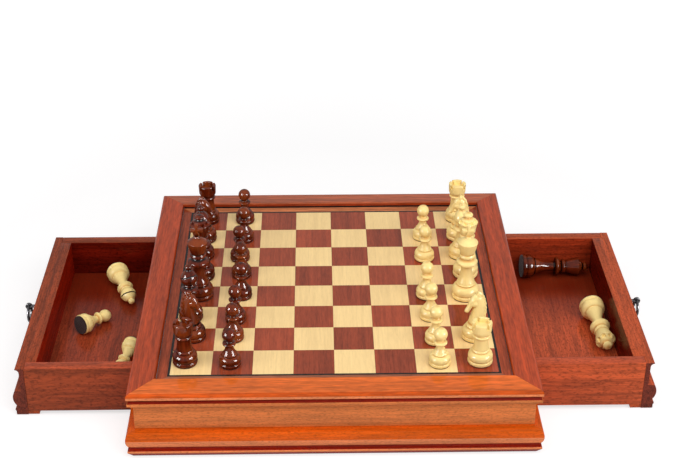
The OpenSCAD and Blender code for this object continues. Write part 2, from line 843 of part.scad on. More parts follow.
frame_rail_front();
frame_rail_back();
frame_rail_left();
frame_rail_right();
board_core();
light_squares();
dark_squares();
black_inlay_line();
border_strips();
case_front();
case_back();
side_stiles();
cornice_strips();
bottom_panel();
centre_divider();
drawer_guides();
drawer_front(-1);  // left_drawer_front
drawer_walls(-1);  // left_drawer_walls
drawer_bottom(-1);  // left_drawer_bottom
pull_plate(-1);  // left_pull_plate
pull_ring(-1);  // left_pull_ring
drawer_front(1);  // right_drawer_front
drawer_walls(1);  // right_drawer_walls
drawer_bottom(1);  // right_drawer_bottom
pull_plate(1);  // right_pull_plate
pull_ring(1);  // right_pull_ring
for (m = BOARD_MEN) board_man(m);
for (m = DRAWER_MEN) drawer_man(m);
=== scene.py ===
"""Dresses a chess box with two drawers: mouldings, veneers, drawers, ring pulls and turned men."""

import json
import math

import bpy
import numpy as np
from bpy.props import FloatProperty, FloatVectorProperty, IntProperty, PointerProperty
from mathutils import Matrix, Vector

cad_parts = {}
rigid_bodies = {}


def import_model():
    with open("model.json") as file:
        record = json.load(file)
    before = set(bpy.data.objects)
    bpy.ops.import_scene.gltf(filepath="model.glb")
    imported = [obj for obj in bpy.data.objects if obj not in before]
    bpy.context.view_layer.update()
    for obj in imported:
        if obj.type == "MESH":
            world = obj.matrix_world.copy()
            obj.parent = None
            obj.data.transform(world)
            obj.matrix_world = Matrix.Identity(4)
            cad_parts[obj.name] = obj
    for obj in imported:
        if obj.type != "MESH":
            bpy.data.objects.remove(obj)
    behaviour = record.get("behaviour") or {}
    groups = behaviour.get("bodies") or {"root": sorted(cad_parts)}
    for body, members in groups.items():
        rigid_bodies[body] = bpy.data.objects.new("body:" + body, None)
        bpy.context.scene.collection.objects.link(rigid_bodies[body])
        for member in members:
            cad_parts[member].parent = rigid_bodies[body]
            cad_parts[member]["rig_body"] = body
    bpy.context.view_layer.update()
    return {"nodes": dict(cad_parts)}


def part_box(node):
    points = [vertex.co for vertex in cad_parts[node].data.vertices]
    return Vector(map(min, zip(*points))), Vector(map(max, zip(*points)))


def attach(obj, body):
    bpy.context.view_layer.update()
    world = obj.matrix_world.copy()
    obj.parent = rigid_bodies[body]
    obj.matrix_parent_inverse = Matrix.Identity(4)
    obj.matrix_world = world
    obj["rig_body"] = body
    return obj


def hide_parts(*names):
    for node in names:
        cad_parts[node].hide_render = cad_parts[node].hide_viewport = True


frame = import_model()

bl_info = {
    "name": "Chess box with drawers",
    "version": (1, 0, 0),
    "blender": (4, 5, 0),
    "location": "3D View > Sidebar > Chess box",
    "description": "Mouldings, veneers, drawers, ring pulls and turned men of a chess box",
    "category": "Add Mesh",
}

MM = 0.001
SIDES = {"left": -1, "right": 1}
QUARTER_TURNS = {"front": 0, "right": 1, "back": 2, "left": 3}


# ---------------------------------------------------------------- sizes taken from the frame

def reach(node, axis):
    """How far a node reaches along an axis, 0 to 2, on its positive side."""
    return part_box(node)[1][axis]


FIELD_HALF = reach("dark_squares", 0)
LINE_HALF = reach("black_inlay_line", 0)
LIP_HALF = reach("border_strips", 0)
EDGE_HALF = reach("frame_rail_front", 0)
CORE_TOP = reach("board_core", 2)
BOARD_Z = reach("light_squares", 2)
RAIL_TOP = reach("frame_rail_front", 2)
WALL_TOP = reach("case_front", 2)
CORNICE_TOP = reach("cornice_strips", 2)
CORNICE_REACH = reach("cornice_strips", 0)
BULGE_REACH = reach("case_front", 0)
INNER_HALF = reach("bottom_panel", 0)
SQUARE = FIELD_HALF / 4
DRAWER_HALF = reach("left_drawer_front", 1)

# How far rails and cornice reach in behind the frieze, the gap beside a drawer front, the gap between the
# black line and the border, and how near to a plane a face's middle counts as lying in it
HIDDEN_WIDTH = 11.6 * MM
DRAWER_GAP = 0.5 * MM
LINE_GAP = 0.1 * MM
HAIR = 0.05 * MM


# ---------------------------------------------------------------- settings

def length(name, description, millimetres, precision=4):
    """A length as a setting, its default given in millimetres."""
    return FloatProperty(name=name, description=description, default=millimetres * MM, unit="LENGTH",
                         precision=precision)


def hue(name, description, default):
    """A colour as a setting."""
    return FloatVectorProperty(name=name, description=description, default=default, subtype="COLOR")


class CaseSettings(bpy.types.PropertyGroup):
    """Sizes of the frame and of the mouldings that the frame's boxes don't give."""

    overhang: length("Frame overhang", "From the frame's edge back to the frieze", 5.4)
    lip_lean: length("Lip lean", "How far the inner lip leans back from the board", 0.5)
    # Painted shade: below this height the lip's foot gets near-black felt
    lip_seam: length("Lip seam", "Height of the dark foot of the inner lip", 1.9)
    lip_round: length("Lip round", "Radius of the inner lip's edge", 1.5)
    crown_fall: length("Crown fall", "Fall of a rail's top towards its outer edge", 1.4)
    edge_round: length("Edge round", "Radius of a rail's outer top edge", 3.2)
    shadow_line: length("Shadow line", "Height of the gap between frame and cornice", 1.9)
    cornice_nose: length("Cornice nose", "Height of the cornice's upright nose", 2)
    # Where the painted shadow of the frame's overhang begins on the cornice's slope
    cornice_shade: FloatProperty(name="Cornice shade", min=0.05, max=0.95, default=0.22,
                                 description="Where on the cornice's slope its dark stain begins")
    cove: length("Cove", "Radius of the cove under the cornice", 3)
    ledge: length("Ledge height", "Where the frieze meets the base moulding", 28)
    round_radius: length("Round", "Radius of the base moulding's round", 14)
    round_foot: length("Round foot", "Height of the round's lower edge", 12.2)
    step: length("Step", "How far the step under the round stands out", 5.4)
    bead_radius: length("Bead", "Radius of the bead under the step", 2.2)
    bead_height: length("Bead height", "Height of the bead's middle", 7)
    groove: length("Groove", "Height of the red line above the round", 1.4)
    foot: length("Foot", "How far the bottom edge stands out", 3)
    drawer_cove: length("Drawer cove", "Cove under a drawer front's top edge", 3.6)
    drawer_edge: length("Drawer edge", "Upright edge above that cove", 0.8)
    side_thickness: length("Drawer sides", "Thickness of a drawer's sides and back", 12)
    ease: length("Eased edges", "How far sharp edges are sanded off", 0.35, 5)
    joint: length("Joint line", "Half the hairline left in a mitre", 0.06, 5)


class WoodSettings(bpy.types.PropertyGroup):
    """Colours of the woods."""

    frame_front: hue("Front rail", "Lacquered front rail", (0.60, 0.124, 0.021))
    frame_side: hue("Side rails", "Lacquered side rails", (0.39, 0.053, 0.012))
    frame_back: hue("Back rail", "Lacquered back rail", (0.42, 0.095, 0.035))
    # Painted shade: a darker, redder copy of the front rail's wood on its outer round
    frame_edge: hue("Front rail's edge", "Outer round of the front rail", (0.52, 0.075, 0.004))
    frame_lip: hue("Inner lips", "Steep inner lips of the rails", (0.30, 0.04, 0.008))
    # Painted reflection and shade: a darker, redder copy of the case wood on the round's upper half, which
    # reflects the frieze, and on the line where frieze meets round
    case_round: hue("Case rounds", "Upper half of the base moulding's round", (0.585, 0.092, 0.006))
    case_tan: hue("Case", "Frieze and mouldings of the case", (0.58, 0.175, 0.051))
    # Painted shade: the cornice's slope under the frame's overhang, the step under the round and the foot
    case_groove: hue("Grooves", "Stain that gathers in the mouldings' grooves", (0.22, 0.009, 0.0008))
    # Painted highlight: a pale copy of the case wood on the front rail's band below its round, on the round's
    # lower half and on the bead's nose
    case_worn: hue("Rubbed edges", "Edges where the stain is rubbed thin", (0.70, 0.22, 0.085))
    drawer_left: hue("Left drawer", "Outside of the left drawer", (0.26, 0.048, 0.016))
    drawer_right: hue("Right drawer", "Outside of the right drawer", (0.40, 0.072, 0.023))
    drawer_inside: hue("Drawer insides", "Stained insides of the drawers", (0.12, 0.006, 0.002))
    # Painted light: a brighter copy of the inside stain on the left front's inside, which faces the light
    drawer_red: hue("Left front, inside", "Stained inside of the left front", (0.23, 0.010, 0.002))
    # Painted light: a paler copy of the inside stain on the right drawer's far side
    drawer_pale: hue("Right far side, inside", "Thinner stain on that side", (0.28, 0.032, 0.010))
    # Painted light: a lighter copy of the drawer wood on the near sides' top edges, which face up to the
    # light
    drawer_top: hue("Near sides, top", "Top edges of the drawers' near sides", (0.44, 0.080, 0.032))
    drawer_end: hue("End grain", "Ends of the drawer fronts", (0.14, 0.026, 0.014))
    # Painted reflection: these floor colours are paler than the stain and show at the front; the deep colour
    # below takes over towards the back
    floor_left: hue("Left floor", "Stained floor of the left drawer", (0.30, 0.050, 0.019))
    floor_right: hue("Right floor", "Stained floor of the right drawer", (0.42, 0.074, 0.026))
    drawer_deep: hue("Drawer floors, behind", "Deeper stain of the floors' far end", (0.15, 0.012, 0.003))
    border_front: hue("Front border", "Veneer strip in front of the squares", (0.28, 0.10, 0.053))
    border_back: hue("Back border", "Veneer strip behind the squares", (0.54, 0.19, 0.085))
    border_side: hue("Side border", "Veneer strips at both sides", (0.32, 0.060, 0.023))
    dark_veneer: hue("Dark veneer", "Dark squares", (0.32, 0.056, 0.022))
    light_veneer: hue("Light veneer", "Light squares", (0.95, 0.66, 0.30))
    plywood: hue("Hidden panels", "Bottom, divider and guides", (0.52, 0.30, 0.14))


class MenSettings(bpy.types.PropertyGroup):
    """How the chess men are turned."""

    dark_man: hue("Dark men", "Stained wood of the dark men", (0.10, 0.011, 0.002))
    thin_stain: hue("Thin stain", "Dark men where the stain is thin", (0.25, 0.046, 0.008))
    light_man: hue("Light men", "Plain wood of the light men", (0.98, 0.74, 0.305))
    felt: hue("Felts", "Felt under each man", (0.030, 0.010, 0.008))
    segments: IntProperty(name="Segments", description="Faces round a turned man", default=64, min=32,
                          max=128)
    felt_thickness: length("Felt thickness", "Thickness of the felt", 1)
    felt_inset: length("Felt inset", "How far the felt stays inside the base", 0.6)
    slit: length("Bishop's slit", "Width of the slit in a mitre", 1.2)
    notch: length("Rook's notches", "Width of the notches in a parapet", 3)
    coronet_notch: length("Queen's notches", "Diameter of the notches in a coronet", 4)
    cross_width: length("Cross width", "Width across a king's cross", 13)
    cross_thickness: length("Cross thickness", "Thickness of a king's cross", 4.4)


class PullSettings(bpy.types.PropertyGroup):
    """Sizes of the ring pulls."""

    plate: length("Plate", "Diameter of the plate", 9.4)
    plate_thickness: length("Plate thickness", "Thickness of the plate", 1.6)
    stem: length("Stem", "Diameter of the stem", 3.4)
    eye: length("Eye", "Outer diameter of the eye", 7)
    eye_width: length("Eye width", "Width of the eye", 3)
    wire: length("Wire", "Diameter of the ring's wire", 3)
    metal: hue("Metal", "Black lacquer of the pulls", (0.012, 0.011, 0.013))


class StageSettings(bpy.types.PropertyGroup):
    """Camera, lamps and floor."""

    camera_place: FloatVectorProperty(name="Camera place", description="Where the camera stands",
                                      subtype="TRANSLATION", unit="LENGTH",
                                      default=(-0.01458, -1.19028, 0.81753))
    camera_down: FloatProperty(name="Camera tilt", description="How far the camera looks down",
                               subtype="ANGLE", default=math.radians(29.950))
    camera_turn: FloatProperty(name="Camera turn", description="How far the camera looks to the right",
                               subtype="ANGLE", default=math.radians(1.0479))
    camera_roll: FloatProperty(name="Camera roll", description="How far the camera leans", subtype="ANGLE",
                               default=math.radians(0.0355))
    lens: FloatProperty(name="Lens", description="Focal length on a 36 mm sensor, in millimetres",
                        default=73.3, min=20, max=200)
    lamp_direction: FloatVectorProperty(name="Softbox direction", subtype="DIRECTION",
                                        description="From the board to the right softbox",
                                        default=(0.80, -0.52, 0.30))
    side_direction: FloatVectorProperty(name="Side light direction", subtype="DIRECTION",
                                        description="From the board to the right side light",
                                        default=(0.74, -0.40, 0.54))
    side_power: FloatProperty(name="Side light power", description="Power of each side light, in watts",
                              default=7.0)
    overhead_power: FloatProperty(name="Overhead power", description="Power of the light overhead, in watts",
                                  default=13.0)
    floor: FloatProperty(name="Floor", description="Side of the floor", default=12, unit="LENGTH")
    lamp_side: FloatProperty(name="Softbox side", description="Side of both softboxes", default=0.7,
                             unit="LENGTH")
    lamp_power: FloatProperty(name="Softbox power", description="Power of each softbox in gloss, in watts",
                              default=70.0)
    lamp_distance: FloatProperty(name="Lamp distance", description="From the board to the lamps at its sides",
                                 default=1.4, unit="LENGTH")
    fill_power: FloatProperty(name="Fill power", description="Power of the front fill, in watts",
                              default=15.0)
    fill_right: FloatProperty(name="Fill place", description="How far the front fill stands to the right",
                              default=0.7, unit="LENGTH")
    room_light: FloatProperty(name="Room light", description="Light that the bright room gives", default=0.12,
                              min=0, max=1)


SETTINGS = {
    "chess_case": CaseSettings,
    "chess_woods": WoodSettings,
    "chess_men": MenSettings,
    "chess_pulls": PullSettings,
    "chess_stage": StageSettings,
}


# ---------------------------------------------------------------- curves and surfaces

def seeded(name):
    """Three numbers from 0 to 1 that depend on a piece's name alone."""
    seed = sum(ord(letter) * (place + 7) for place, letter in enumerate(name))
    return np.random.default_rng(seed).random(3)


def arc(centre, radius, start, end, steps):
    """Points on a circle's arc: centre plus radius times (cos a, sin a), a from start to end in degrees."""
    a = np.radians(np.linspace(start, end, steps + 1))
    return np.array(centre) + radius * np.stack([np.cos(a), np.sin(a)], 1)


def bead(radius, out, low, high, steps=12):
    """A half-round on a turned surface: the radius plus out times the sine of half a turn, low to high."""
    a = np.linspace(0, math.pi, steps + 1)
    return np.stack([radius + out * np.sin(a), low + (high - low) * (1 - np.cos(a)) / 2], 1)


def sweep(start, end, sag, steps=16):
    """A line between two points, drawn in by sag times the sine of half a turn."""
    t = np.linspace(0, 1, steps + 1)[:, None]
    line = np.array(start) + (np.array(end) - np.array(start)) * t
    return line - np.concatenate([sag * np.sin(math.pi * t), 0 * t], 1)


def eased(points, size, steps=4, closed=True):
    """Each corner of an outline becomes a parabola that starts and ends size away from the corner,
    or 0.45 of the shorter neighbouring side where that is less: (1-t)^2 a + 2t(1-t) corner + t^2 b."""
    points = np.asarray(points, float)
    back, ahead = np.roll(points, 1, 0) - points, np.roll(points, -1, 0) - points
    length_back = np.linalg.norm(back, axis=1, keepdims=True)
    length_ahead = np.linalg.norm(ahead, axis=1, keepdims=True)
    pull = np.minimum(size, 0.45 * np.minimum(length_back, length_ahead))
    a = points + back / np.maximum(length_back, 1e-9) * pull
    b = points + ahead / np.maximum(length_ahead, 1e-9) * pull
    t = np.linspace(0, 1, steps + 1)[None, :, None]
    rounded = (1 - t) ** 2 * a[:, None] + 2 * t * (1 - t) * points[:, None] + t ** 2 * b[:, None]
    if not closed:
        rounded[0], rounded[-1] = points[0], points[-1]
    return rounded.reshape(-1, points.shape[1])


def grid_faces(rows, columns, wrap_rows=False):
    """Quads between neighbouring points of a grid whose columns close round, and its rows too where asked."""
    i, j = np.meshgrid(np.arange(rows if wrap_rows else rows - 1), np.arange(columns), indexing="ij")
    i, j = i.ravel(), j.ravel()
    here, above, j_next = i * columns, (i + 1) % rows * columns, (j + 1) % columns
    return np.stack([here + j, here + j_next, above + j_next, above + j], 1).tolist()


def signed_volume(points, faces):
    """Six times the volume inside: the sum over each face's fan of a . (b x c)."""
    total = 0.0
    for face_size in sorted({len(f) for f in faces}):
        corners = np.array([f for f in faces if len(f) == face_size])
        a = points[corners[:, 0]]
        for k in range(1, face_size - 1):
            b, c = points[corners[:, k]], points[corners[:, k + 1]]
            total += float(np.einsum("ij,ij->i", a, np.cross(b, c)).sum())
    return total


class Shape:
    """Points and faces of a closed surface, and the material slot of each face."""

    def __init__(self, points, faces):
        self.points = np.asarray(points, float)
        self.faces = [list(map(int, f)) for f in faces]
        if signed_volume(self.points, self.faces) < 0:
            self.faces = [f[::-1] for f in self.faces]
        self.slots = [0] * len(self.faces)

    def middles(self):
        """The middle of each face."""
        return np.array([self.points[f].mean(0) for f in self.faces])

    def mark(self, chosen, slot):
        """Gives the chosen faces another material slot."""
        self.slots = np.where(chosen, slot, self.slots).tolist()

    def joined(self, other, slot=0):
        """This shape and another one, which gets the given material slot."""
        first = len(self.points)
        whole = Shape.__new__(Shape)
        whole.points = np.concatenate([self.points, other.points])
        whole.faces = self.faces + [[i + first for i in f] for f in other.faces]
        whole.slots = self.slots + [slot] * len(other.faces)
        return whole

    def moved(self, matrix):
        """The same shape after a 4 by 4 matrix; a matrix that mirrors turns the faces round as well."""
        m = np.array(matrix, float)
        copy = Shape.__new__(Shape)
        copy.points = self.points @ m[:3, :3].T + m[:3, 3]
        mirrored = np.linalg.det(m[:3, :3]) < 0
        copy.faces = [f[::-1] for f in self.faces] if mirrored else self.faces
        copy.slots = self.slots
        return copy


def ended(grid):
    """A row of closed loops joined by quads, with one face over each end."""
    rows, count = grid.shape[:2]
    ends = [list(range(count))[::-1], [(rows - 1) * count + k for k in range(count)]]
    return Shape(grid.reshape(-1, 3), grid_faces(rows, count) + ends)


def poled(grid, low, high):
    """A row of closed loops joined by quads, which closes in a pole at each end."""
    rows, count = grid.shape[:2]
    ring = np.arange(count)
    after = (ring + 1) % count
    last = (rows - 1) * count
    faces = grid_faces(rows, count)
    faces += np.stack([np.full(count, rows * count), after, ring], 1).tolist()
    faces += np.stack([np.full(count, rows * count + 1), last + ring, last + after], 1).tolist()
    return Shape(np.concatenate([grid.reshape(-1, 3), [low], [high]]), faces)


def carried(section, x):
    """A closed section carried along X: y = -out and z as drawn, at the grid's own x."""
    out, z = np.broadcast_to(section[:, 0], x.shape), np.broadcast_to(section[:, 1], x.shape)
    return ended(np.stack([x, -out, z], 2))


def bar(section, half_length, mitred, steps=24):
    """A closed section carried along X, x from -1 to 1 times the half length, or times the point's own
    distance out, less the joint, where the bar is mitred."""
    out = section[:, 0]
    reach_x = out - half_length if mitred else np.full_like(out, half_length)
    return carried(section, np.linspace(-1, 1, steps + 1)[:, None] * reach_x)


def rounded_box(low, high, radius, steps=3, stations=14):
    """A box with rounded edges: a rounded rectangle in Y and Z, carried along X. Towards each end its
    corner radius shrinks as a quarter circle, so that the end's edges are round too."""
    low, high = np.array(low, float), np.array(high, float)
    half, middle = (high - low) / 2, (high + low) / 2
    turn = np.linspace(0, math.pi / 2, steps + 1)
    angles = np.concatenate([turn + k * math.pi / 2 for k in range(4)])
    signs = np.repeat(np.array([[1, 1], [-1, 1], [-1, -1], [1, -1]]), steps + 1, axis=0)
    x_end = half[0] - radius * (1 - np.sin(turn))
    shrink_end = radius * (1 - np.cos(turn)) * 0.999
    x = np.concatenate([-x_end[::-1], np.linspace(-x_end[0], x_end[0], stations)[1:-1], x_end])
    shrink = np.concatenate([shrink_end[::-1], np.zeros(stations - 2), shrink_end])
    r = (radius - shrink)[:, None]
    y = middle[1] + signs[:, 0] * (half[1] - radius) + r * np.cos(angles)
    z = middle[2] + signs[:, 1] * (half[2] - radius) + r * np.sin(angles)
    return ended(np.stack([np.broadcast_to((middle[0] + x)[:, None], y.shape), y, z], 2))


def revolved(profile, segments, height=None, angles=None):
    """A profile of (radius, z) turned about Z: (r cos a, r sin a, z). It runs from the lower pole to the
    upper one. height may be a function of the grid's radius, z and angle that gives another z, and angles
    one of the radius that gives the grid's own angles."""
    radius, z = profile[1:-1, :1], profile[1:-1, 1:]
    around = np.arange(segments)[None, :] * (2 * math.pi / segments) if angles is None else angles(radius)
    radius, z, around = np.broadcast_arrays(radius, z, around)
    if height is not None:
        z = height(radius, z, around)
    grid = np.stack([radius * np.cos(around), radius * np.sin(around), z], 2)
    return poled(grid, (0, 0, profile[0, 1]), (0, 0, profile[-1, 1]))


def revolved_ring(section, segments):
    """A closed section of (radius, z) turned about Z."""
    a = np.arange(segments)[:, None] * (2 * math.pi / segments)
    grid = np.stack([section[:, 0] * np.cos(a), section[:, 0] * np.sin(a),
                     np.broadcast_to(section[:, 1], (segments, len(section)))], 2)
    return Shape(grid.reshape(-1, 3), grid_faces(segments, len(section), wrap_rows=True))


def tube(centres, across, up, half_across, half_up, squareness, sides=28):
    """A tube round a line of centres: centre + across * a * |cos t|^(2/n) + up * b * |sin t|^(2/n), with
    n the squareness, closed at both ends by a pole."""
    t = np.linspace(0, 2 * math.pi, sides, endpoint=False)[None, :, None]
    power = 2 / squareness
    c = np.sign(np.cos(t)) * np.abs(np.cos(t)) ** power
    s = np.sign(np.sin(t)) * np.abs(np.sin(t)) ** power
    grid = (centres[:, None] + across[:, None] * half_across[:, None, None] * c
            + up[:, None] * half_up[:, None, None] * s)
    return poled(grid, centres[0], centres[-1])


def mesh_object(name, shape, materials=(), sharp=40):
    """A Blender object from a shape, smooth except at edges sharper than the given angle in degrees."""
    mesh = bpy.data.meshes.new(name)
    mesh.from_pydata(shape.points.tolist(), [], shape.faces)
    for one in materials:
        mesh.materials.append(one)
    mesh.polygons.foreach_set("material_index", np.array(shape.slots, np.int32))
    mesh.polygons.foreach_set("use_smooth", np.ones(len(mesh.polygons), bool))
    mesh.update()
    mesh.set_sharp_from_angle(angle=math.radians(sharp))
    obj = bpy.data.objects.new(name, mesh)
    bpy.context.scene.collection.objects.link(obj)
    return obj


def store(obj, name, values):
    """Keeps one vector or number for each vertex of a mesh under a name that its materials read."""
    kind, field = ("FLOAT_VECTOR", "vector") if values.ndim == 2 else ("FLOAT", "value")
    attribute = obj.data.attributes.new(name, kind, "POINT")
    attribute.data.foreach_set(field, values.astype(np.float32).ravel())


# How far, in metres, the grain of one piece may lie from that of another
GRAIN_SHIFT = 3


def place(name, shape, grain, materials, body, nodes, slot, sharp=40):
    """Makes a wooden piece, gives it its grain coordinates, and hands it to the frame."""
    obj = mesh_object(name, shape, materials, sharp)
    store(obj, "grain", grain + seeded(name) * GRAIN_SHIFT)
    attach(obj, body)
    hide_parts(*nodes)
    return obj


def turned(matrix, shape):
    """A shape after a matrix, and the grain coordinates that it had before: the first axis follows the
    grain."""
    return shape.moved(matrix), shape.points


# ---------------------------------------------------------------- materials

# The middle part of a noise's range, in which nearly all of its values lie, and a bump that only breaks up
# a gloss
NOISE_SPAN = 0.3, 0.7
FAINT = 0.01 * MM


class Nodes:
    """A material's nodes, with one short call for each kind."""

    def __init__(self, name):
        self.material = bpy.data.materials.new(name)
        self.material.use_nodes = True
        self.tree = self.material.node_tree
        self.tree.nodes.clear()

    def add(self, kind, inputs=None, **settings):
        """Adds a node; an input that is a socket is linked, and any other one is set."""
        node = self.tree.nodes.new("ShaderNode" + kind)
        for key, value in settings.items():
            setattr(node, key, value)
        for key, value in (inputs or {}).items():
            if isinstance(value, bpy.types.NodeSocket):
                self.tree.links.new(value, node.inputs[key])
            else:
                node.inputs[key].default_value = value
        return node

    def grain(self):
        """The piece's own grain coordinates in metres, X along the grain."""
        return self.add("Attribute", attribute_type="GEOMETRY", attribute_name="grain").outputs["Vector"]

    def along(self, axis):
        """Object coordinates, turned so that X follows the given axis, 0 or 1."""
        vector = self.add("TexCoord").outputs["Object"]
        if axis == 0:
            return vector
        return self.add("Mapping", {"Vector": vector, "Rotation": (0, 0, math.pi / 2)}).outputs[0]

    def scaled(self, vector, x, y, z):
        """A vector times three numbers."""
        return self.add("VectorMath", {0: vector, 1: (x, y, z)}, operation="MULTIPLY").outputs[0]

    def noise(self, vector, detail, roughness=0.55, scale=1.0):
        """Noise of about one cell a unit, as a number."""
        inputs = {"Vector": vector, "Scale": scale, "Detail": detail, "Roughness": roughness}
        return self.add("TexNoise", inputs).outputs[0]

    def bent(self, vector, scale, detail, by):
        """A vector that noise pushes sideways, by up to a length."""
        noise = self.add("TexNoise", {"Vector": self.scaled(vector, *scale), "Scale": 1.0, "Detail": detail})
        inputs = {0: noise.outputs["Color"], 1: (0.0, by, by), 2: vector}
        return self.add("VectorMath", inputs, operation="MULTIPLY_ADD").outputs[0]

    def math(self, operation, a, b):
        """One operation on two numbers."""
        return self.add("Math", {0: a, 1: b}, operation=operation).outputs[0]

    def spread(self, value, low, high, start=0.0, end=1.0):
        """Maps low to high onto start to end, and no further."""
        inputs = {"Value": value, "From Min": low, "From Max": high, "To Min": start, "To Max": end}
        return self.add("MapRange", inputs).outputs[0]

    def layers(self, *pairs):
        """The sum of some noises, each spread by its own weight to both sides of zero."""
        total = None
        for value, weight in pairs:
            part = self.spread(value, *NOISE_SPAN, -weight, weight)
            total = part if total is None else self.math("ADD", total, part)
        return total

    def mix(self, factor, a, b):
        """Two colours mixed."""
        def colour(c):
            return c if isinstance(c, bpy.types.NodeSocket) else (*c, 1.0)
        return self.add("Mix", {0: factor, 6: colour(a), 7: colour(b)}, data_type="RGBA").outputs[2]

    def finish(self, colour, roughness, normal=None, coat=0.0, coat_roughness=0.1, metallic=0.0, sheen=0.0,
               specular=0.0, coat_ior=1.4):
        """The shader itself. Lacquered wood shines by its coat alone."""
        inputs = {"Base Color": colour if isinstance(colour, bpy.types.NodeSocket) else (*colour, 1.0),
                  "Roughness": roughness, "Metallic": metallic, "Coat Weight": coat,
                  "Coat Roughness": coat_roughness, "Sheen Weight": sheen, "Specular IOR Level": specular,
                  "Coat IOR": coat_ior}
        shader = self.add("BsdfPrincipled", inputs)
        if normal is not None:
            self.tree.links.new(normal, shader.inputs["Normal"])
        output = self.add("OutputMaterial")
        self.tree.links.new(shader.outputs[0], output.inputs["Surface"])
        return self.material

    def bump(self, height, distance):
        """A bump of the given depth in metres."""
        return self.add("Bump", {"Height": height, "Distance": distance, "Strength": 1.0}).outputs[0]


def shade(colour, factor):
    """A colour made darker or lighter."""
    return tuple(min(1.0, c * factor) for c in colour)


# How the light parts of a grain lean towards red, and where, along the box's depth, a drawer floor's deep
# colour begins to take over from its paler front, which holds a painted reflection, and where it is full
WARM = 1.1, 1.0, 0.9
FLOOR_SHEEN_FADE = -10 * MM, 70 * MM


def wood(name, colour, vector=None, contrast=0.3, rings=0.3, pores=0.4, flecks=(120, 650), roughness=0.35,
         coat=0.5, coat_roughness=0.1, depth=6 * FAINT, deep=None):
    """Wood of one colour. Broad bands, streaks and fibres are noise stretched along the grain, growth
    rings are cylinders round a leaning axis, and pores are short dark dashes where a fine stretched noise
    is high. All of them darken or warm the colour, and pores and fibres also make the bump. Where a deep
    colour is given, it takes over towards the back of the box; the paler colour left at the front of a
    drawer's floor is a painted reflection."""
    n = Nodes(name)
    g = n.grain() if vector is None else vector(n)
    wavy = n.bent(g, (9, 22, 22), 2.0, 4 * MM)
    bands = n.noise(n.scaled(wavy, 3, 45, 45), 2)
    streaks = n.noise(n.scaled(wavy, 10, 300, 300), 3)
    fibres = n.noise(n.scaled(wavy, 60, 800, 800), 2)
    leaning = n.add("Mapping", {"Vector": wavy, "Rotation": (0.0, 0.05, 0.07)}).outputs[0]
    ring_inputs = {"Vector": leaning, "Scale": 46.0, "Distortion": 5.0, "Detail": 2.0, "Detail Scale": 1.4}
    ring = n.add("TexWave", ring_inputs, wave_type="RINGS", rings_direction="X").outputs["Fac"]
    tone = n.layers((bands, 0.5), (streaks, 0.6), (fibres, 0.6))
    tone = n.math("ADD", tone, n.math("MULTIPLY", n.math("SUBTRACT", ring, 0.5), rings * 2))
    share = n.spread(tone, -1.0, 1.0)
    dark = shade(colour, 1 - contrast)
    light = tuple(min(1.0, c * (1 + contrast) * w) for c, w in zip(colour, WARM))
    tinted = n.mix(share, dark, light)
    if deep is not None:
        place_now = n.add("SeparateXYZ", {0: n.add("TexCoord").outputs["Object"]}).outputs["Y"]
        cloud = n.noise(n.scaled(wavy, 8, 14, 14), 2)
        share = n.math("ADD", n.spread(place_now, *FLOOR_SHEEN_FADE, 0.0, 0.9), n.layers((cloud, 0.15)))
        tinted = n.mix(share, tinted, deep)
    pore = n.spread(n.noise(n.scaled(g, flecks[0], flecks[1], flecks[1]), 2, 0.5), 0.5, 0.7)
    tinted = n.mix(n.math("MULTIPLY", pore, pores), tinted, shade(colour, 0.3))
    height = n.math("SUBTRACT", n.math("MULTIPLY", fibres, 0.3), pore)
    return n.finish(tinted, roughness, n.bump(height, depth), coat=coat, coat_roughness=coat_roughness)


def squares_veneer(name, colour, contrast, coat_roughness):
    """Veneer cut into squares: each cell shifts the grain and the tone by white noise of the cell's own
    column and row, so that neighbours don't match."""
    n = Nodes(name)
    place_on_board = n.add("TexCoord").outputs["Object"]
    cell = n.add("VectorMath", {0: n.scaled(place_on_board, 1 / SQUARE, 1 / SQUARE, 0)},
                 operation="FLOOR").outputs[0]
    chance = n.add("TexWhiteNoise", {"Vector": cell}, noise_dimensions="3D")
    g = n.add("Mapping", {"Vector": place_on_board, "Rotation": (0, 0, math.pi / 2)}).outputs[0]
    g = n.add("VectorMath", {0: chance.outputs["Color"], 1: (2.0, 3.0, 1.0), 2: g},
              operation="MULTIPLY_ADD").outputs[0]
    streaks = n.noise(n.scaled(g, 10, 330, 330), 3)
    fibres = n.noise(n.scaled(g, 90, 750, 750), 2)
    bands = n.noise(n.scaled(g, 5, 70, 70), 2)
    tone = n.layers((bands, 0.35), (streaks, 0.5), (fibres, 0.4))
    tone = n.math("ADD", tone, n.math("MULTIPLY", n.math("SUBTRACT", chance.outputs["Value"], 0.5), 0.8))
    share = n.spread(tone, -1.0, 1.0)
    colour_now = n.mix(share, shade(colour, 1 - contrast), shade(colour, 1 + contrast * 0.7))
    pore = n.spread(n.noise(n.scaled(g, 180, 1900, 1900), 1, 0.4), 0.62, 0.72)
    colour_now = n.mix(n.math("MULTIPLY", pore, contrast), colour_now, shade(colour, 0.45))
    return n.finish(colour_now, 0.4, n.bump(n.math("ADD", fibres, streaks), FAINT), coat=0.5,
                    coat_roughness=coat_roughness)


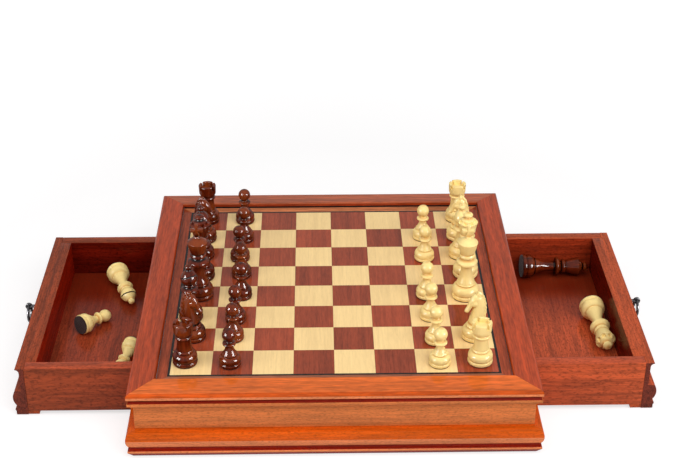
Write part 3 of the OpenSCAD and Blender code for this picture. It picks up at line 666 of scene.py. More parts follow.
def man_wood(name, colour, contrast, crease_shade_colour, coat, coat_roughness, roughness, thin=None):
    """Turned wood: streaks along the man's own axis, and painted shade in its grooves, where the
    attribute named groove is high. Broad clouds, which differ from man to man, show where the stain is
    thin."""
    n = Nodes(name)
    g = n.grain()
    wavy = n.bent(g, (20, 60, 60), 1.0, 2 * MM)
    bands = n.noise(n.scaled(wavy, 16, 190, 190), 2)
    streaks = n.noise(n.scaled(wavy, 30, 900, 900), 3)
    share = n.spread(n.layers((bands, 0.6), (streaks, 0.4)), -1.0, 1.0)
    tinted = n.mix(share, shade(colour, 1 - contrast), shade(colour, 1 + contrast))
    if thin is not None:
        cloud = n.noise(n.scaled(g, 26, 34, 34), 2)
        tinted = n.mix(n.spread(cloud, 0.48, 0.7), tinted, thin)
    groove = n.add("Attribute", attribute_type="GEOMETRY", attribute_name="groove").outputs["Fac"]
    tinted = n.mix(groove, tinted, crease_shade_colour)
    return n.finish(tinted, roughness, n.bump(streaks, FAINT), coat=coat, coat_roughness=coat_roughness,
                    coat_ior=1.5)


def felt_material(colour, name="felt"):
    """Felt: a rough cloth whose fibres are fine noise in colour and bump."""
    n = Nodes(name)
    fibres = n.noise(n.add("TexCoord").outputs["Object"], 3, 0.7, 2600.0)
    tinted = n.mix(n.spread(fibres, *NOISE_SPAN), shade(colour, 0.5), shade(colour, 1.8))
    return n.finish(tinted, 0.95, n.bump(fibres, 20 * FAINT), sheen=0.3)


def black_metal(colour):
    """Black lacquered metal: glossy, with a faint orange peel and a little wear in the tone."""
    n = Nodes("black metal")
    place_now = n.add("TexCoord").outputs["Object"]
    peel = n.noise(place_now, 2, 0.5, 900.0)
    cloud = n.noise(place_now, 2, 0.5, 160.0)
    tinted = n.mix(n.spread(cloud, 0.35, 0.7), colour, shade(colour, 2.6))
    return n.finish(tinted, 0.28, n.bump(peel, FAINT), coat=0.8, coat_roughness=0.12, metallic=0.5,
                    specular=0.5)


# The dye of the line round the squares
BLACK = 0.012, 0.009, 0.008


def black_line():
    """Black dyed inlay with a faint grain."""
    n = Nodes("black line")
    streaks = n.noise(n.scaled(n.add("TexCoord").outputs["Object"], 400, 400, 400), 3)
    tinted = n.mix(n.spread(streaks, *NOISE_SPAN), shade(BLACK, 0.6), shade(BLACK, 2.2))
    return n.finish(tinted, 0.4, n.bump(streaks, FAINT), coat=0.4, coat_roughness=0.14)


# How each kind of wood is grained and lacquered
RAIL = {"contrast": 0.3, "rings": 0.25, "pores": 0.35, "flecks": (70, 600), "coat_roughness": 0.09,
        "depth": 2 * FAINT}
CASE = {"contrast": 0.22, "rings": 0.1, "pores": 0.42, "flecks": (330, 950), "coat": 0.3,
        "coat_roughness": 0.22, "roughness": 0.45}
DRAWER = {"contrast": 0.4, "rings": 0.15, "pores": 0.6, "flecks": (300, 640), "coat": 0.35,
          "coat_roughness": 0.2}
STRIP = {"contrast": 0.4, "rings": 0.1, "pores": 0.35, "coat": 0.35, "depth": FAINT}
PLYWOOD = {"contrast": 0.2, "rings": 0.5, "pores": 0.3, "coat": 0.0, "roughness": 0.7}

# Woods whose grain follows the piece: name of the material, setting of its colour, and kind
WOODS = {
    "frame front": ("front rail wood", "frame_front", RAIL),
    "frame side": ("side rail wood", "frame_side", RAIL),
    "frame back": ("back rail wood", "frame_back", RAIL),
    "frame edge": ("front rail edge wood", "frame_edge", RAIL),
    "frame lip": ("lip wood", "frame_lip", RAIL),
    "case": ("case wood", "case_tan", CASE),
    "case round": ("case round wood", "case_round", CASE),
    "case groove": ("groove wood", "case_groove", CASE),
    "case worn": ("rubbed wood", "case_worn", CASE),
    "left drawer": ("left drawer wood", "drawer_left", DRAWER),
    "right drawer": ("right drawer wood", "drawer_right", DRAWER),
    "drawer red": ("red inside wood", "drawer_red", DRAWER),
    "drawer pale": ("pale inside wood", "drawer_pale", DRAWER),
    "drawer top": ("drawer top wood", "drawer_top", DRAWER),
    "drawer end": ("end grain", "drawer_end", DRAWER),
    "drawer inside": ("drawer inside wood", "drawer_inside", DRAWER),
    "border front": ("front border veneer", "border_front", STRIP),
    "border back": ("back border veneer", "border_back", STRIP),
    "border side": ("side border veneer", "border_side", STRIP),
}

# Painted shade in the grooves of dark and light men
DARK_CREASE_SHADE, LIGHT_CREASE_SHADE = (0.008, 0.001, 0.0005), (0.78, 0.44, 0.13)

# The materials made so far, by name
MATERIALS = {}


def new_material(name):
    """Makes the material of that name."""
    scene = bpy.context.scene
    woods, men = scene.chess_woods, scene.chess_men
    if name in WOODS:
        label, setting, kind = WOODS[name]
        return wood(label, getattr(woods, setting), **kind)

    def floor(colour):
        return wood(name + " wood", colour, lambda n: n.along(1), deep=woods.drawer_deep, **DRAWER)

    makers = {
        "left floor": lambda: floor(woods.floor_left),
        "right floor": lambda: floor(woods.floor_right),
        "plywood": lambda: wood("plywood", woods.plywood, lambda n: n.along(0), **PLYWOOD),
        "dark squares": lambda: squares_veneer("dark veneer", woods.dark_veneer, 0.45, 0.1),
        "light squares": lambda: squares_veneer("light veneer", woods.light_veneer, 0.12, 0.12),
        "line": black_line,
        "dark man": lambda: man_wood("dark man wood", men.dark_man, 0.85, DARK_CREASE_SHADE, 0.42, 0.07, 0.3,
                                     men.thin_stain),
        "light man": lambda: man_wood("light man wood", men.light_man, 0.06, LIGHT_CREASE_SHADE, 0.2, 0.2, 0.4),
        "felt": lambda: felt_material(men.felt),
        # Painted shade: near-black felt that fills the bishop's slit and the foot of the rails' lips
        "slit": lambda: felt_material(shade(men.felt, 0.3), "slit"),
        "metal": lambda: black_metal(scene.chess_pulls.metal),
    }
    return makers[name]()


def material(name):
    """The material of that name, made the first time it is asked for."""
    if name not in MATERIALS:
        MATERIALS[name] = new_material(name)
    return MATERIALS[name]


def polished():
    """The collection of the polished men and metal, made the first time it is asked for. The softboxes shine
    on these alone, so that the flat lacquered wood doesn't glare."""
    return bpy.data.collections.get("polished") or bpy.data.collections.new("polished")


def dress(node, name):
    """Gives a node that keeps its own mesh a material."""
    obj = frame["nodes"][node]
    obj.data.materials.clear()
    obj.data.materials.append(material(name))


# ---------------------------------------------------------------- frame and case

def rail_section(case):
    """Section of a frame rail as distance out and height: hidden faces inside, a leaning lip towards the
    board, a crown that falls outwards, a round outer edge and a small bevel under it."""
    case_half = EDGE_HALF - case.overhang
    inner = case_half - HIDDEN_WIDTH
    under = CORNICE_TOP + case.shadow_line
    bevel = 0.4 * MM
    lip_middle = (LIP_HALF + case.lip_lean + case.lip_round, RAIL_TOP - case.lip_round)
    lip = arc(lip_middle, case.lip_round, 165, 90, 10)
    edge = arc((EDGE_HALF - case.edge_round, RAIL_TOP - case.crown_fall - case.edge_round), case.edge_round,
               88, 0, 12)
    hidden = [(case_half, CORNICE_TOP), (inner, CORNICE_TOP), (inner, CORE_TOP), (LIP_HALF, CORE_TOP)]
    seam = (LIP_HALF + case.lip_lean * 0.3, BOARD_Z + case.lip_seam)
    outline = np.concatenate([hidden, [(LIP_HALF, BOARD_Z), seam], lip, edge,
                              [(EDGE_HALF, under + bevel), (EDGE_HALF - bevel, under), (case_half, under)]])
    return eased(outline, case.ease)


def cornice_section(case):
    """Section of a cornice strip: a cove below, an upright nose, and a top that slopes back in, with a
    break in the slope where its painted shadow begins.
    """
    case_half = EDGE_HALF - case.overhang
    inner = case_half - HIDDEN_WIDTH
    cove = arc((CORNICE_REACH, WALL_TOP), case.cove, 170, 90, 12)
    nose = WALL_TOP + case.cove + case.cornice_nose
    slope = (case_half + CORNICE_REACH) / 2
    share = case.cornice_shade
    shaded = (CORNICE_REACH + (slope - CORNICE_REACH) * share, nose + (CORNICE_TOP - nose) * share)
    hidden = [(inner, CORNICE_TOP), (inner, WALL_TOP), (CORNICE_REACH - case.cove, WALL_TOP)]
    outline = np.concatenate([hidden, cove, [(CORNICE_REACH, nose), shaded, (slope, CORNICE_TOP)]])
    return eased(outline, case.ease * 0.7)


def moulding(case, top):
    """Outside of the base moulding and frieze from the floor up: foot, bead, step, round and frieze."""
    case_half = EDGE_HALF - case.overhang
    step = case_half + case.step
    quirk = 0.2 * MM
    middle = (case.ledge + case.round_foot) / 2
    swing = math.degrees(math.asin((case.ledge - case.round_foot) / 2 / case.round_radius))
    lower = arc((step, case.bead_height), case.bead_radius, -50, 80, 14)
    round_now = arc((BULGE_REACH - case.round_radius, middle), case.round_radius, -swing, swing, 22)
    step_foot = case.bead_height + case.bead_radius + quirk
    frieze = [(case_half, case.ledge + quirk), (case_half, case.ledge + case.groove), (case_half, top)]
    return np.concatenate([[(case_half + case.foot, 0)], lower,
                           [(step, step_foot), (step, case.round_foot - quirk)], round_now, frieze])


def front_outline(case, top):
    """Outside of a drawer front: the moulding, the frieze, a cove and an upright edge up to the top."""
    case_half = EDGE_HALF - case.overhang
    frieze_top = top - case.drawer_edge - case.drawer_cove
    cove = arc((case_half + case.drawer_cove, frieze_top), case.drawer_cove, 170, 90, 12)
    return np.concatenate([moulding(case, frieze_top), cove, [(case_half + case.drawer_cove, top)]])


def wall_section(case):
    """Section of a case wall: the moulding outside, and a flat inside."""
    inside = [(INNER_HALF, WALL_TOP), (INNER_HALF, 0)]
    return eased(np.concatenate([inside, moulding(case, WALL_TOP)]), case.ease * 0.7)


def tint(shape, inside, slot):
    """Faces of a bar along X get another material where a test of their middles, as distance out and
    height, holds."""
    middles = shape.middles()
    shape.mark(inside(-middles[:, 1], middles[:, 2]), slot)


def quarter(turns):
    """A turn about Z by quarter turns."""
    return Matrix.Rotation(turns * math.pi / 2, 4, "Z")


class PieceOperator:
    """What every piece's operator shares."""

    bl_options = {"REGISTER", "UNDO"}


class CHESS_OT_frame_rails(PieceOperator, bpy.types.Operator):
    """Makes the four mitred rails round the board"""

    bl_idname = "chess.frame_rails"
    bl_label = "Frame rails"

    def execute(self, context):
        case = context.scene.chess_case
        rail = bar(rail_section(case), case.joint, mitred=True)
        # Material 1 is the outer edge, on the front rail a painted-shade copy of its wood; 2 the lip;
        # 3 painted shade at the lip's foot, in the near-black slit felt; 4 a painted highlight on the band
        # below the front rail's outer edge
        lip_end = LIP_HALF + case.lip_lean
        round_starts = EDGE_HALF - case.edge_round * 0.8
        tint(rail, lambda out, z: (out > round_starts) & (z > CORNICE_TOP), 1)
        tint(rail, lambda out, z: (out < lip_end) & (z > BOARD_Z), 2)
        # Painted shade at the lip's foot
        tint(rail, lambda out, z: (out < lip_end) & (z < BOARD_Z + case.lip_seam), 3)
        edge_foot = RAIL_TOP - case.crown_fall - case.edge_round
        tint(rail, lambda out, z: (out > round_starts) & (z < edge_foot) & (z > CORNICE_TOP), 4)
        for side, turns in QUARTER_TURNS.items():
            name = "frame_rail_" + side
            shape, grain = turned(quarter(turns), rail)
            tone = "frame " + (side if side in ("front", "back") else "side")
            # The front rail's outer round gets the painted-shade copy of its wood
            edge = "frame edge" if side == "front" else tone
            highlight = "case worn" if side == "front" else tone
            tones = [material(t) for t in (tone, edge, "frame lip", "slit", highlight)]
            place("rail_" + side, shape, grain, tones, "case", [name], "frame_wood")
        return {"FINISHED"}


class CHESS_OT_case(PieceOperator, bpy.types.Operator):
    """Makes the case walls, the stiles beside the drawers and the cornice"""

    bl_idname = "chess.case"
    bl_label = "Case"

    def execute(self, context):
        case = context.scene.chess_case
        section = wall_section(case)
        wall = bar(section, case.joint, mitred=True)
        self.tone(case, wall)
        tones = [material(name) for name in ("case", "case round", "case groove", "case worn")]
        for side in ("front", "back"):
            shape, grain = turned(quarter(QUARTER_TURNS[side]), wall)
            place("wall_" + side, shape, grain, tones, "case", ["case_" + side], "case_wood")
        self.stiles(case, section, tones)
        cornice = bar(cornice_section(case), case.joint, mitred=True)
        nose = WALL_TOP + case.cove + case.cornice_nose
        shaded = nose + (CORNICE_TOP - nose) * case.cornice_shade
        # Painted shadow of the frame's overhang: the slope above this level gets the painted-shade wood
        tint(cornice, lambda out, z: z > shaded, 1)
        for side, turns in QUARTER_TURNS.items():
            shape, grain = turned(quarter(turns), cornice)
            place("cornice_" + side, shape, grain, [tones[0], tones[2]], "case", ["cornice_strips"],
                  "case_wood")
        return {"FINISHED"}

    def tone(self, case, shape):
        """Painted light on the moulding: the upper half of the round and a line above it get a redder copy
        for painted reflection and shade; the round's lower half and the bead's nose get a painted highlight;
        the step between them and the foot get painted shade."""
        on_round = EDGE_HALF - case.overhang + case.ease
        round_middle = (case.ledge + case.round_foot) / 2
        bead_top = case.bead_height + case.bead_radius * 0.5
        tint(shape, lambda out, z: (out > on_round) & (z > round_middle), 1)
        tint(shape, lambda out, z: (out > on_round) & (z > case.round_foot) & (z < round_middle), 3)
        tint(shape, lambda out, z: (out > INNER_HALF) & (z > case.ledge) & (z < case.ledge + case.groove), 1)
        tint(shape, lambda out, z: (out > INNER_HALF) & (z > bead_top) & (z < case.round_foot), 2)
        tint(shape, lambda out, z: (out > INNER_HALF) & (z > case.bead_height) & (z < bead_top), 3)
        tint(shape, lambda out, z: (out > INNER_HALF) & (z < case.bead_height - case.bead_radius * 0.8), 2)

    def stiles(self, case, section, tones):
        """The four corner pieces: the wall's section from the drawer opening to the mitre."""
        opening = DRAWER_HALF + DRAWER_GAP
        width = section[:, 0] - case.joint - opening
        stile = carried(section, opening + np.linspace(0, 1, 5)[:, None] * width)
        self.tone(case, stile)
        for side in ("left", "right"):
            for end in (1, -1):
                matrix = quarter(QUARTER_TURNS[side]) @ Matrix.Diagonal((end, 1, 1, 1))
                shape, grain = turned(matrix, stile)
                name = f"stile_{side}_{'near' if end * SIDES[side] < 0 else 'far'}"
                place(name, shape, grain, tones, "case", ["side_stiles"], "case_wood")


class CHESS_OT_board(PieceOperator, bpy.types.Operator):
    """Veneers the board: squares, black line and border"""

    bl_idname = "chess.board"
    bl_label = "Board"

    def execute(self, context):
        dress("light_squares", "light squares")
        dress("dark_squares", "dark squares")
        dress("black_inlay_line", "line")
        dress("board_core", "plywood")
        self.border()
        return {"FINISHED"}

    def border(self):
        """Four mitred strips of dark veneer, with the grain along each."""
        low = LINE_HALF + LINE_GAP
        section = np.array([(low, CORE_TOP), (LIP_HALF, CORE_TOP), (LIP_HALF, BOARD_Z), (low, BOARD_Z)])
        strip = bar(section, HAIR, mitred=True)
        for side, turns in QUARTER_TURNS.items():
            shape, grain = turned(quarter(turns), strip)
            tone = "border " + (side if side in ("front", "back") else "side")
            place("border_" + side, shape, grain, [material(tone)], "case", ["border_strips"], "dark_veneer")


class CHESS_OT_inner_panels(PieceOperator, bpy.types.Operator):
    """Finishes the panels inside the case"""

    bl_idname = "chess.inner_panels"
    bl_label = "Inner panels"

    def execute(self, context):
        for node in ("bottom_panel", "centre_divider", "drawer_guides"):
            dress(node, "plywood")
        return {"FINISHED"}


# ---------------------------------------------------------------- drawers and pulls

def inside_stain_and_light(shape, side):
    """Faces on the four upright sides of the drawer's inside get the second material: their middles are
    within a hair of those planes, and inside their outline."""
    walls_low, walls_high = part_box(side + "_drawer_walls")
    front_low, front_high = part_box(side + "_drawer_front")
    thickness = bpy.context.scene.chess_case.side_thickness
    y_reach = walls_high.y - thickness
    back = min(abs(walls_low.x), abs(walls_high.x)) + thickness
    front = min(abs(front_low.x), abs(front_high.x))
    x, y = np.abs(shape.middles()[:, :2]).T
    on_sides = (np.abs(y - y_reach) < HAIR) & (x > back - HAIR) & (x < front + thickness)
    on_ends = ((np.abs(x - back) < HAIR) | (np.abs(x - front) < HAIR)) & (y < y_reach + HAIR)
    shape.mark(on_sides | on_ends, 1)


class CHESS_OT_drawers(PieceOperator, bpy.types.Operator):
    """Makes both drawers: moulded front, sides, back and floor"""

    bl_idname = "chess.drawers"
    bl_label = "Drawers"

    def execute(self, context):
        case = context.scene.chess_case
        for side in SIDES:
            self.front(case, side)
            self.walls(case, side)
            dress(side + "_drawer_bottom", side + " floor")
        return {"FINISHED"}

    def front(self, case, side):
        """The moulding's section with a cove and an edge along its top, carried along the drawer's width in
        front of the sides; behind it the part between the sides, and a strip under them."""
        node = side + "_drawer_front"
        low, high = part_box(node)
        walls_low, walls_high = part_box(side + "_drawer_walls")
        open_now = (high.x if side == "right" else -low.x) - BULGE_REACH
        inner = min(abs(low.x), abs(high.x)) - open_now
        sides_end = max(abs(walls_low.x), abs(walls_high.x)) - open_now
        outline = front_outline(case, high.z)
        outline = outline[outline[:, 1] >= low.z]
        foot = np.array([(sides_end, low.z), (outline[0, 0], low.z)])
        section = np.concatenate([[(sides_end, high.z)], foot, outline])
        shape = bar(eased(section, case.ease), DRAWER_HALF, mitred=False, steps=20)
        between = DRAWER_HALF - case.side_thickness
        overlap = case.ease * 2
        panel = rounded_box((-between, -sides_end - overlap, low.z + case.ease), (between, -inner, high.z),
                            case.ease)
        strip = rounded_box((-DRAWER_HALF + case.ease, -sides_end - overlap, low.z),
                            (DRAWER_HALF - case.ease, -inner, walls_low.z - case.joint), case.ease)
        matrix = quarter(QUARTER_TURNS[side]) @ Matrix.Translation((0, -open_now, 0))
        shape, grain = turned(matrix, shape.joined(panel).joined(strip))
        inside_stain_and_light(shape, side)
        x, y = np.abs(shape.middles()[:, :2]).T
        shape.mark((y > DRAWER_HALF - HAIR) & (x > open_now + sides_end), 2)
        # The left front's inside gets the painted-light copy of the inside stain
        inside = "drawer red" if side == "left" else "drawer inside"
        tones = [material(name) for name in (side + " drawer", inside, "drawer end")]
        place(side + "_drawer_moulding", shape, grain, tones, side + "_drawer", [node], "drawer_wood")

    def walls(self, case, side):
        """Two sides and a back with sanded edges."""
        node = side + "_drawer_walls"
        low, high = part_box(node)
        gap = case.joint * SIDES[side]
        inner = min(abs(low.x), abs(high.x)) * SIDES[side]
        end = max(abs(low.x), abs(high.x)) * SIDES[side] - gap
        thickness = case.side_thickness
        x_low, x_high = sorted((inner, end))
        pieces = {
            "side_near": ((x_low, low.y, low.z), (x_high, low.y + thickness, high.z), (0, 1, 2)),
            "side_far": ((x_low, high.y - thickness, low.z), (x_high, high.y, high.z), (0, 1, 2)),
        }
        back = sorted((inner, inner + thickness * SIDES[side]))
        floor_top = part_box(side + "_drawer_bottom")[1].z
        pieces["back"] = ((back[0], low.y + thickness, floor_top), (back[1], high.y - thickness, high.z),
                          (1, 0, 2))
        sanded = 0.6 * MM
        for label, (corner, other, order) in pieces.items():
            shape = rounded_box(corner, other, sanded)
            inside_stain_and_light(shape, side)
            # The right drawer's far side gets the painted-light copy of the inside stain
            inside = "drawer pale" if (side, label) == ("right", "side_far") else "drawer inside"
            # Painted light: the near side's top edge gets a lighter copy of the drawer wood
            if label == "side_near":
                shape.mark(shape.middles()[:, 2] > high.z - 2 * HAIR, 2)
            tones = [material(name) for name in (side + " drawer", inside, "drawer top")]
            grain = shape.points[:, list(order)]
            place(f"{side}_drawer_{label}", shape, grain, tones, side + "_drawer", [node], "drawer_wood")


class CHESS_OT_ring_pulls(PieceOperator, bpy.types.Operator):
    """Makes both ring pulls"""

    bl_idname = "chess.ring_pulls"
    bl_label = "Ring pulls"

    def execute(self, context):
        pulls = context.scene.chess_pulls
        for side, sign in SIDES.items():
            self.plate(pulls, side, sign)
            self.ring(pulls, side)
        return {"FINISHED"}

    def plate(self, pulls, side, sign):
        """A turned plate with a raised rim and a boss, a waisted stem, and an eye across it."""
        node = side + "_pull_plate"
        low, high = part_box(node)
        middle_z = (low.z + high.z) / 2
        face = low.x if side == "right" else high.x
        tip = high.x if side == "right" else low.x
        pivot = tip - sign * pulls.eye / 2
        r, t, stem = pulls.plate / 2, pulls.plate_thickness, pulls.stem / 2
        # Radii of the rim, the boss, the stem's waist and the eye's edges; then how far the boss lies in from
        # the edge, the play round the wire, how far the stem ends short of it, and how far edges are eased
        rim, boss, waist, eye_edge = 0.3 * MM, 0.6 * MM, 1.0 * MM, 0.6 * MM
        boss_inset, play, short, ease = 1.0 * MM, 0.3 * MM, 0.35 * MM, 0.15 * MM
        reach_out = abs(pivot - face) - pulls.wire / 2 - short
        profile = np.concatenate([[(0, 0), (r, 0)], bead(r - rim, rim, 0.1 * MM, t * 0.9, 8),
                                  arc((r - boss_inset, t * 0.6), boss, 60, 120, 6),
                                  arc((stem + waist, t + waist), waist, -90, -170, 8),
                                  [(stem, reach_out), (0, reach_out)]])
        rosette = revolved(eased(profile, ease, closed=False), 56)
        to_face = Matrix.Translation((face, 0, middle_z)) @ Matrix.Rotation(sign * math.pi / 2, 4, "Y")
        rosette = rosette.moved(to_face)
        hole = pulls.wire / 2 + play
        half = pulls.eye_width / 2
        ring = np.array([(hole, -half), (pulls.eye / 2, -half), (pulls.eye / 2, half), (hole, half)])
        eye = revolved_ring(eased(ring, eye_edge, steps=5), 48)
        eye = eye.moved(Matrix.Translation((pivot, 0, middle_z)) @ Matrix.Rotation(math.pi / 2, 4, "X"))
        obj = mesh_object(side + "_pull", rosette.joined(eye), [material("metal")], sharp=50)
        polished().objects.link(obj)
        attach(obj, side + "_drawer")
        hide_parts(node)

    def ring(self, pulls, side):
        """The ring: a circle of wire."""
        node = side + "_pull_ring"
        low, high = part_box(node)
        middle = (low + high) / 2
        radius = (high.z - low.z - pulls.wire) / 2
        wire = arc((radius, 0), pulls.wire / 2, 0, 360, 24)[:-1]
        ring = revolved_ring(wire, 96)
        matrix = Matrix.Translation(middle) @ Matrix.Rotation(math.pi / 2, 4, "Y")
        obj = mesh_object(side + "_ring", ring.moved(matrix), [material("metal")], sharp=60)
        polished().objects.link(obj)
        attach(obj, side + "_ring")
        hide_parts(node)


# ---------------------------------------------------------------- chess men

# The turned foot of every man: radius and height in shares of the base's radius
FOOT = np.concatenate([
    bead(0.955, 0.045, 0, 0.27), [(0.925, 0.29), (0.925, 0.35)],
    arc((0, 0), 1, -90, -15, 5) * (0.035, 0.185) + (0.95, 0.555),
    arc((0, 0), 1, 0, 86, 16) * (0.345, 0.445) + (0.64, 0.555), bead(0.66, 0.05, 1.03, 1.2),
])
FOOT_TOP = 1.22

# Upper parts: radius in shares of the base's radius, level in shares of the height above the foot
WELL_LEVEL = 0.84
TOPS = {
    "pawn": np.concatenate([
        sweep((0.64, 0), (0.34, 0.335), 0.07), bead(0.52, 0.1, 0.36, 0.445), [(0.34, 0.485)],
        arc((0, 0), 1, -60, 89, 24) * (0.62, 0.246) + (0, 0.754), [(0, 1)],
    ]),
    "rook": np.concatenate([
        sweep((0.63, 0.01), (0.56, 0.44), 0.03), bead(0.64, 0.06, 0.46, 0.53),
        sweep((0.62, 0.555), (0.74, 0.65), 0.03, 6), [(0.765, 0.7), (0.79, 0.975), (0.765, 1), (0.55, 1)],
        [(0.52, 0.98), (0.52, WELL_LEVEL), (0, WELL_LEVEL)],
    ]),
    "bishop": np.concatenate([
        sweep((0.64, 0.02), (0.36, 0.35), 0.09), bead(0.64, 0.08, 0.37, 0.42),
        sweep((0.6, 0.43), (0.42, 0.475), 0.02, 6), bead(0.46, 0.06, 0.49, 0.54),
        sweep((0.5, 0.55), (0.7, 0.65), -0.03, 8), sweep((0.7, 0.67), (0.22, 0.87), -0.1),
        arc((0, 0), 1, -45, 89, 12) * (0.29, 0.066) + (0, 0.934), [(0, 1)],
    ]),
    "queen": np.concatenate([
        sweep((0.65, 0.015), (0.4, 0.36), 0.1), bead(0.74, 0.06, 0.375, 0.425),
        sweep((0.7, 0.435), (0.45, 0.485), 0.02, 6), bead(0.56, 0.05, 0.5, 0.555),
        sweep((0.52, 0.57), (0.76, 0.79), -0.02, 10), [(0.79, 0.81), (0.77, 0.824)],
        sweep((0.72, 0.826), (0.3, 0.9), -0.03, 20), arc((0, 0), 1, -50, 89, 14) * (0.38, 0.047) + (0, 0.953),
        [(0, 1)],
    ]),
    "king": np.concatenate([
        sweep((0.65, 0.015), (0.4, 0.315), 0.1), bead(0.72, 0.06, 0.325, 0.375),
        sweep((0.68, 0.38), (0.44, 0.425), 0.02, 6), bead(0.54, 0.05, 0.44, 0.485),
        sweep((0.5, 0.5), (0.72, 0.67), -0.02, 10), [(0.75, 0.685), (0.73, 0.7)],
        sweep((0.66, 0.705), (0.22, 0.765), -0.04, 8), [(0.18, 0.79), (0, 0.79)],
    ]),
    "knight": np.array([(0.64, 0.0), (0.6, 0.02), (0, 0.03)]),
}

# Levels of the bishop's slit, the queen's notches and the king's cross, the slit's tilt and the radius of
# the hollow in the coronet
SLIT_LEVEL, CORONET_LEVEL, CROSS_LEVEL = 0.7, 0.845, 0.777
SLIT_TILT = math.radians(25)
CORONET_HOLLOW = 0.53

# Radius and height of the foot's widest ring, on which a lying man rests, in shares of the base's radius
REST_R, REST_Z = 0.985, 0.555

# How far the lathe's sharp edges are sanded off
TURNED_EASE = 0.25 * MM

# How far the men that aren't alike all round are turned, in degrees
TURNS = {
    "dark_rook_1": 20, "dark_knight_1": -20, "dark_bishop_1": -60, "dark_bishop_2": 150,
    "dark_knight_2": -15, "dark_rook_2": 45, "light_rook_1": 30, "light_knight_1": 190,
    "light_bishop_1": 30, "light_knight_2": 170, "light_rook_2": 45,
}
# Direction and roll of the men that lie in the drawers, in degrees
LYING = {
    "light_bishop_2": (-68, 180), "light_pawn_7": (48, 0), "light_pawn_8": (-108, 0),
    "spare_dark_queen": (2.5, 0), "spare_light_queen": (-86, 0),
}


class Man:
    """Sizes of one kind of man: base radius, height with its felt, and what follows from them."""

    def __init__(self, kind, radius, height, felt):
        self.kind, self.radius, self.height, self.felt = kind, radius, height, felt

    def level(self, share):
        """Height above the floor of a level given as a share of the height above the foot."""
        foot = FOOT_TOP * self.radius
        return self.felt + foot + share * (self.height - self.felt - foot)

    def profile(self):
        """Radius and height of the turned outline from the base's middle up to the tip."""
        foot = FOOT * self.radius + (0, self.felt)
        top = TOPS[self.kind]
        upper = np.stack([top[:, 0] * self.radius, self.level(top[:, 1])], 1)
        outline = np.concatenate([[(0, self.felt)], foot, upper])
        return eased(outline, TURNED_EASE, steps=2, closed=False)

    def dip(self):
        """How far the axis of a lying man dips: the least slope of a line from the foot's ring to a ring
        further up."""
        top = TOPS[self.kind]
        rise = self.level(top[:, 1]) - self.felt - REST_Z * self.radius
        return float(np.arctan((REST_R - top[:, 0]) * self.radius / rise).min())


def plain_shape(man, men):
    """A pawn, or what is turned of a bishop or a knight."""
    return revolved(man.profile(), men.segments)


def rook_shape(man, men):
    """A rook's parapet: between the two sides of each notch, whose half angle is asin(width / 2r), no
    point is higher than the floor of the well."""
    in_notch, in_wall = 4, 12
    notch = np.linspace(-1, 1, in_notch + 1)[None, :]
    wall = np.linspace(0, 1, in_wall + 1)[None, :]
    floor_z = man.level(WELL_LEVEL)

    def angles(radius):
        half = np.arcsin(np.minimum(men.notch / 2 / np.maximum(radius, 0.35 * man.radius), 1))
        quarter_turn = np.concatenate([half * notch, half + (math.pi / 2 - 2 * half) * wall], 1)
        return np.concatenate([quarter_turn + k * math.pi / 2 for k in range(4)], 1)

    def height(radius, z, around):
        columns = np.arange(z.shape[1]) % (in_notch + in_wall + 2)
        return np.where((columns <= in_notch)[None, :], np.minimum(z, floor_z), z)

    return revolved(man.profile(), 0, height=height, angles=angles)


def queen_shape(man, men):
    """A queen's coronet: eight round notches across its rim, where z is at most the lower side of a
    cylinder that lies along the radius."""
    count = 8
    centre_z = man.level(CORONET_LEVEL)
    radius_n = men.coronet_notch / 2
    hollow, lowest = CORONET_HOLLOW * man.radius, man.level(0.6)

    def height(radius, z, around):
        from_notch = (around * count / (2 * math.pi)) % 1 - 0.5
        sideways = radius * from_notch * 2 * math.pi / count
        lower = centre_z - np.sqrt(np.maximum(radius_n ** 2 - sideways ** 2, 0))
        cut = (np.abs(sideways) < radius_n) & (radius > hollow) & (z < centre_z + radius_n)
        return np.where(cut & (z > lowest), np.minimum(z, lower), z)

    return revolved(man.profile(), 12 * count, height=height)


def king_shape(man, men):
    """A king with a flared cross: its outline is drawn between waist and ends and shrinks towards its
    middle in rings, while the thickness swells."""
    body = revolved(man.profile(), men.segments)
    low, high = man.level(CROSS_LEVEL), man.height
    tall = high - low
    arm = men.cross_width / 2
    middle, foot, waist, flare = 0.52 * tall, 0.4 * arm, 0.17 * arm, 0.29 * arm
    half = np.array([(foot, 0), (waist, middle - waist), (arm, middle - flare),
                     (arm, middle + flare), (waist, middle + waist), (flare, tall)])
    corner = 0.8 * MM
    outline = eased(np.concatenate([half, half[::-1] * (-1, 1)]), corner)
    centre = np.array([0, middle])
    inset = np.array([1.0, 1.0, 0.93, 0.80])
    thick = np.array([0.0, 0.62, 0.92, 1.0]) * men.cross_thickness / 2
    rings = [outline * s + centre * (1 - s) for s in inset]
    layers = list(zip(rings[::-1], thick[::-1])) + list(zip(rings[1:], -thick[1:]))
    grid = np.array([np.stack([r[:, 0], np.full(len(r), t), r[:, 1] + low], 1) for r, t in layers])
    return body.joined(ended(grid))


SHAPES = {
    "pawn": plain_shape, "rook": rook_shape, "knight": plain_shape, "bishop": plain_shape,
    "queen": queen_shape, "king": king_shape,
}


def modified(obj):
    """What an object's modifiers make of its mesh, as a shape. The object itself goes."""
    mesh = bpy.data.meshes.new_from_object(obj.evaluated_get(bpy.context.evaluated_depsgraph_get()))
    places = np.zeros(len(mesh.vertices) * 3, np.float32)
    mesh.vertices.foreach_get("co", places)
    shape = Shape(places.reshape(-1, 3), [list(face.vertices) for face in mesh.polygons])
    bpy.data.objects.remove(obj)
    bpy.data.meshes.remove(mesh)
    return shape


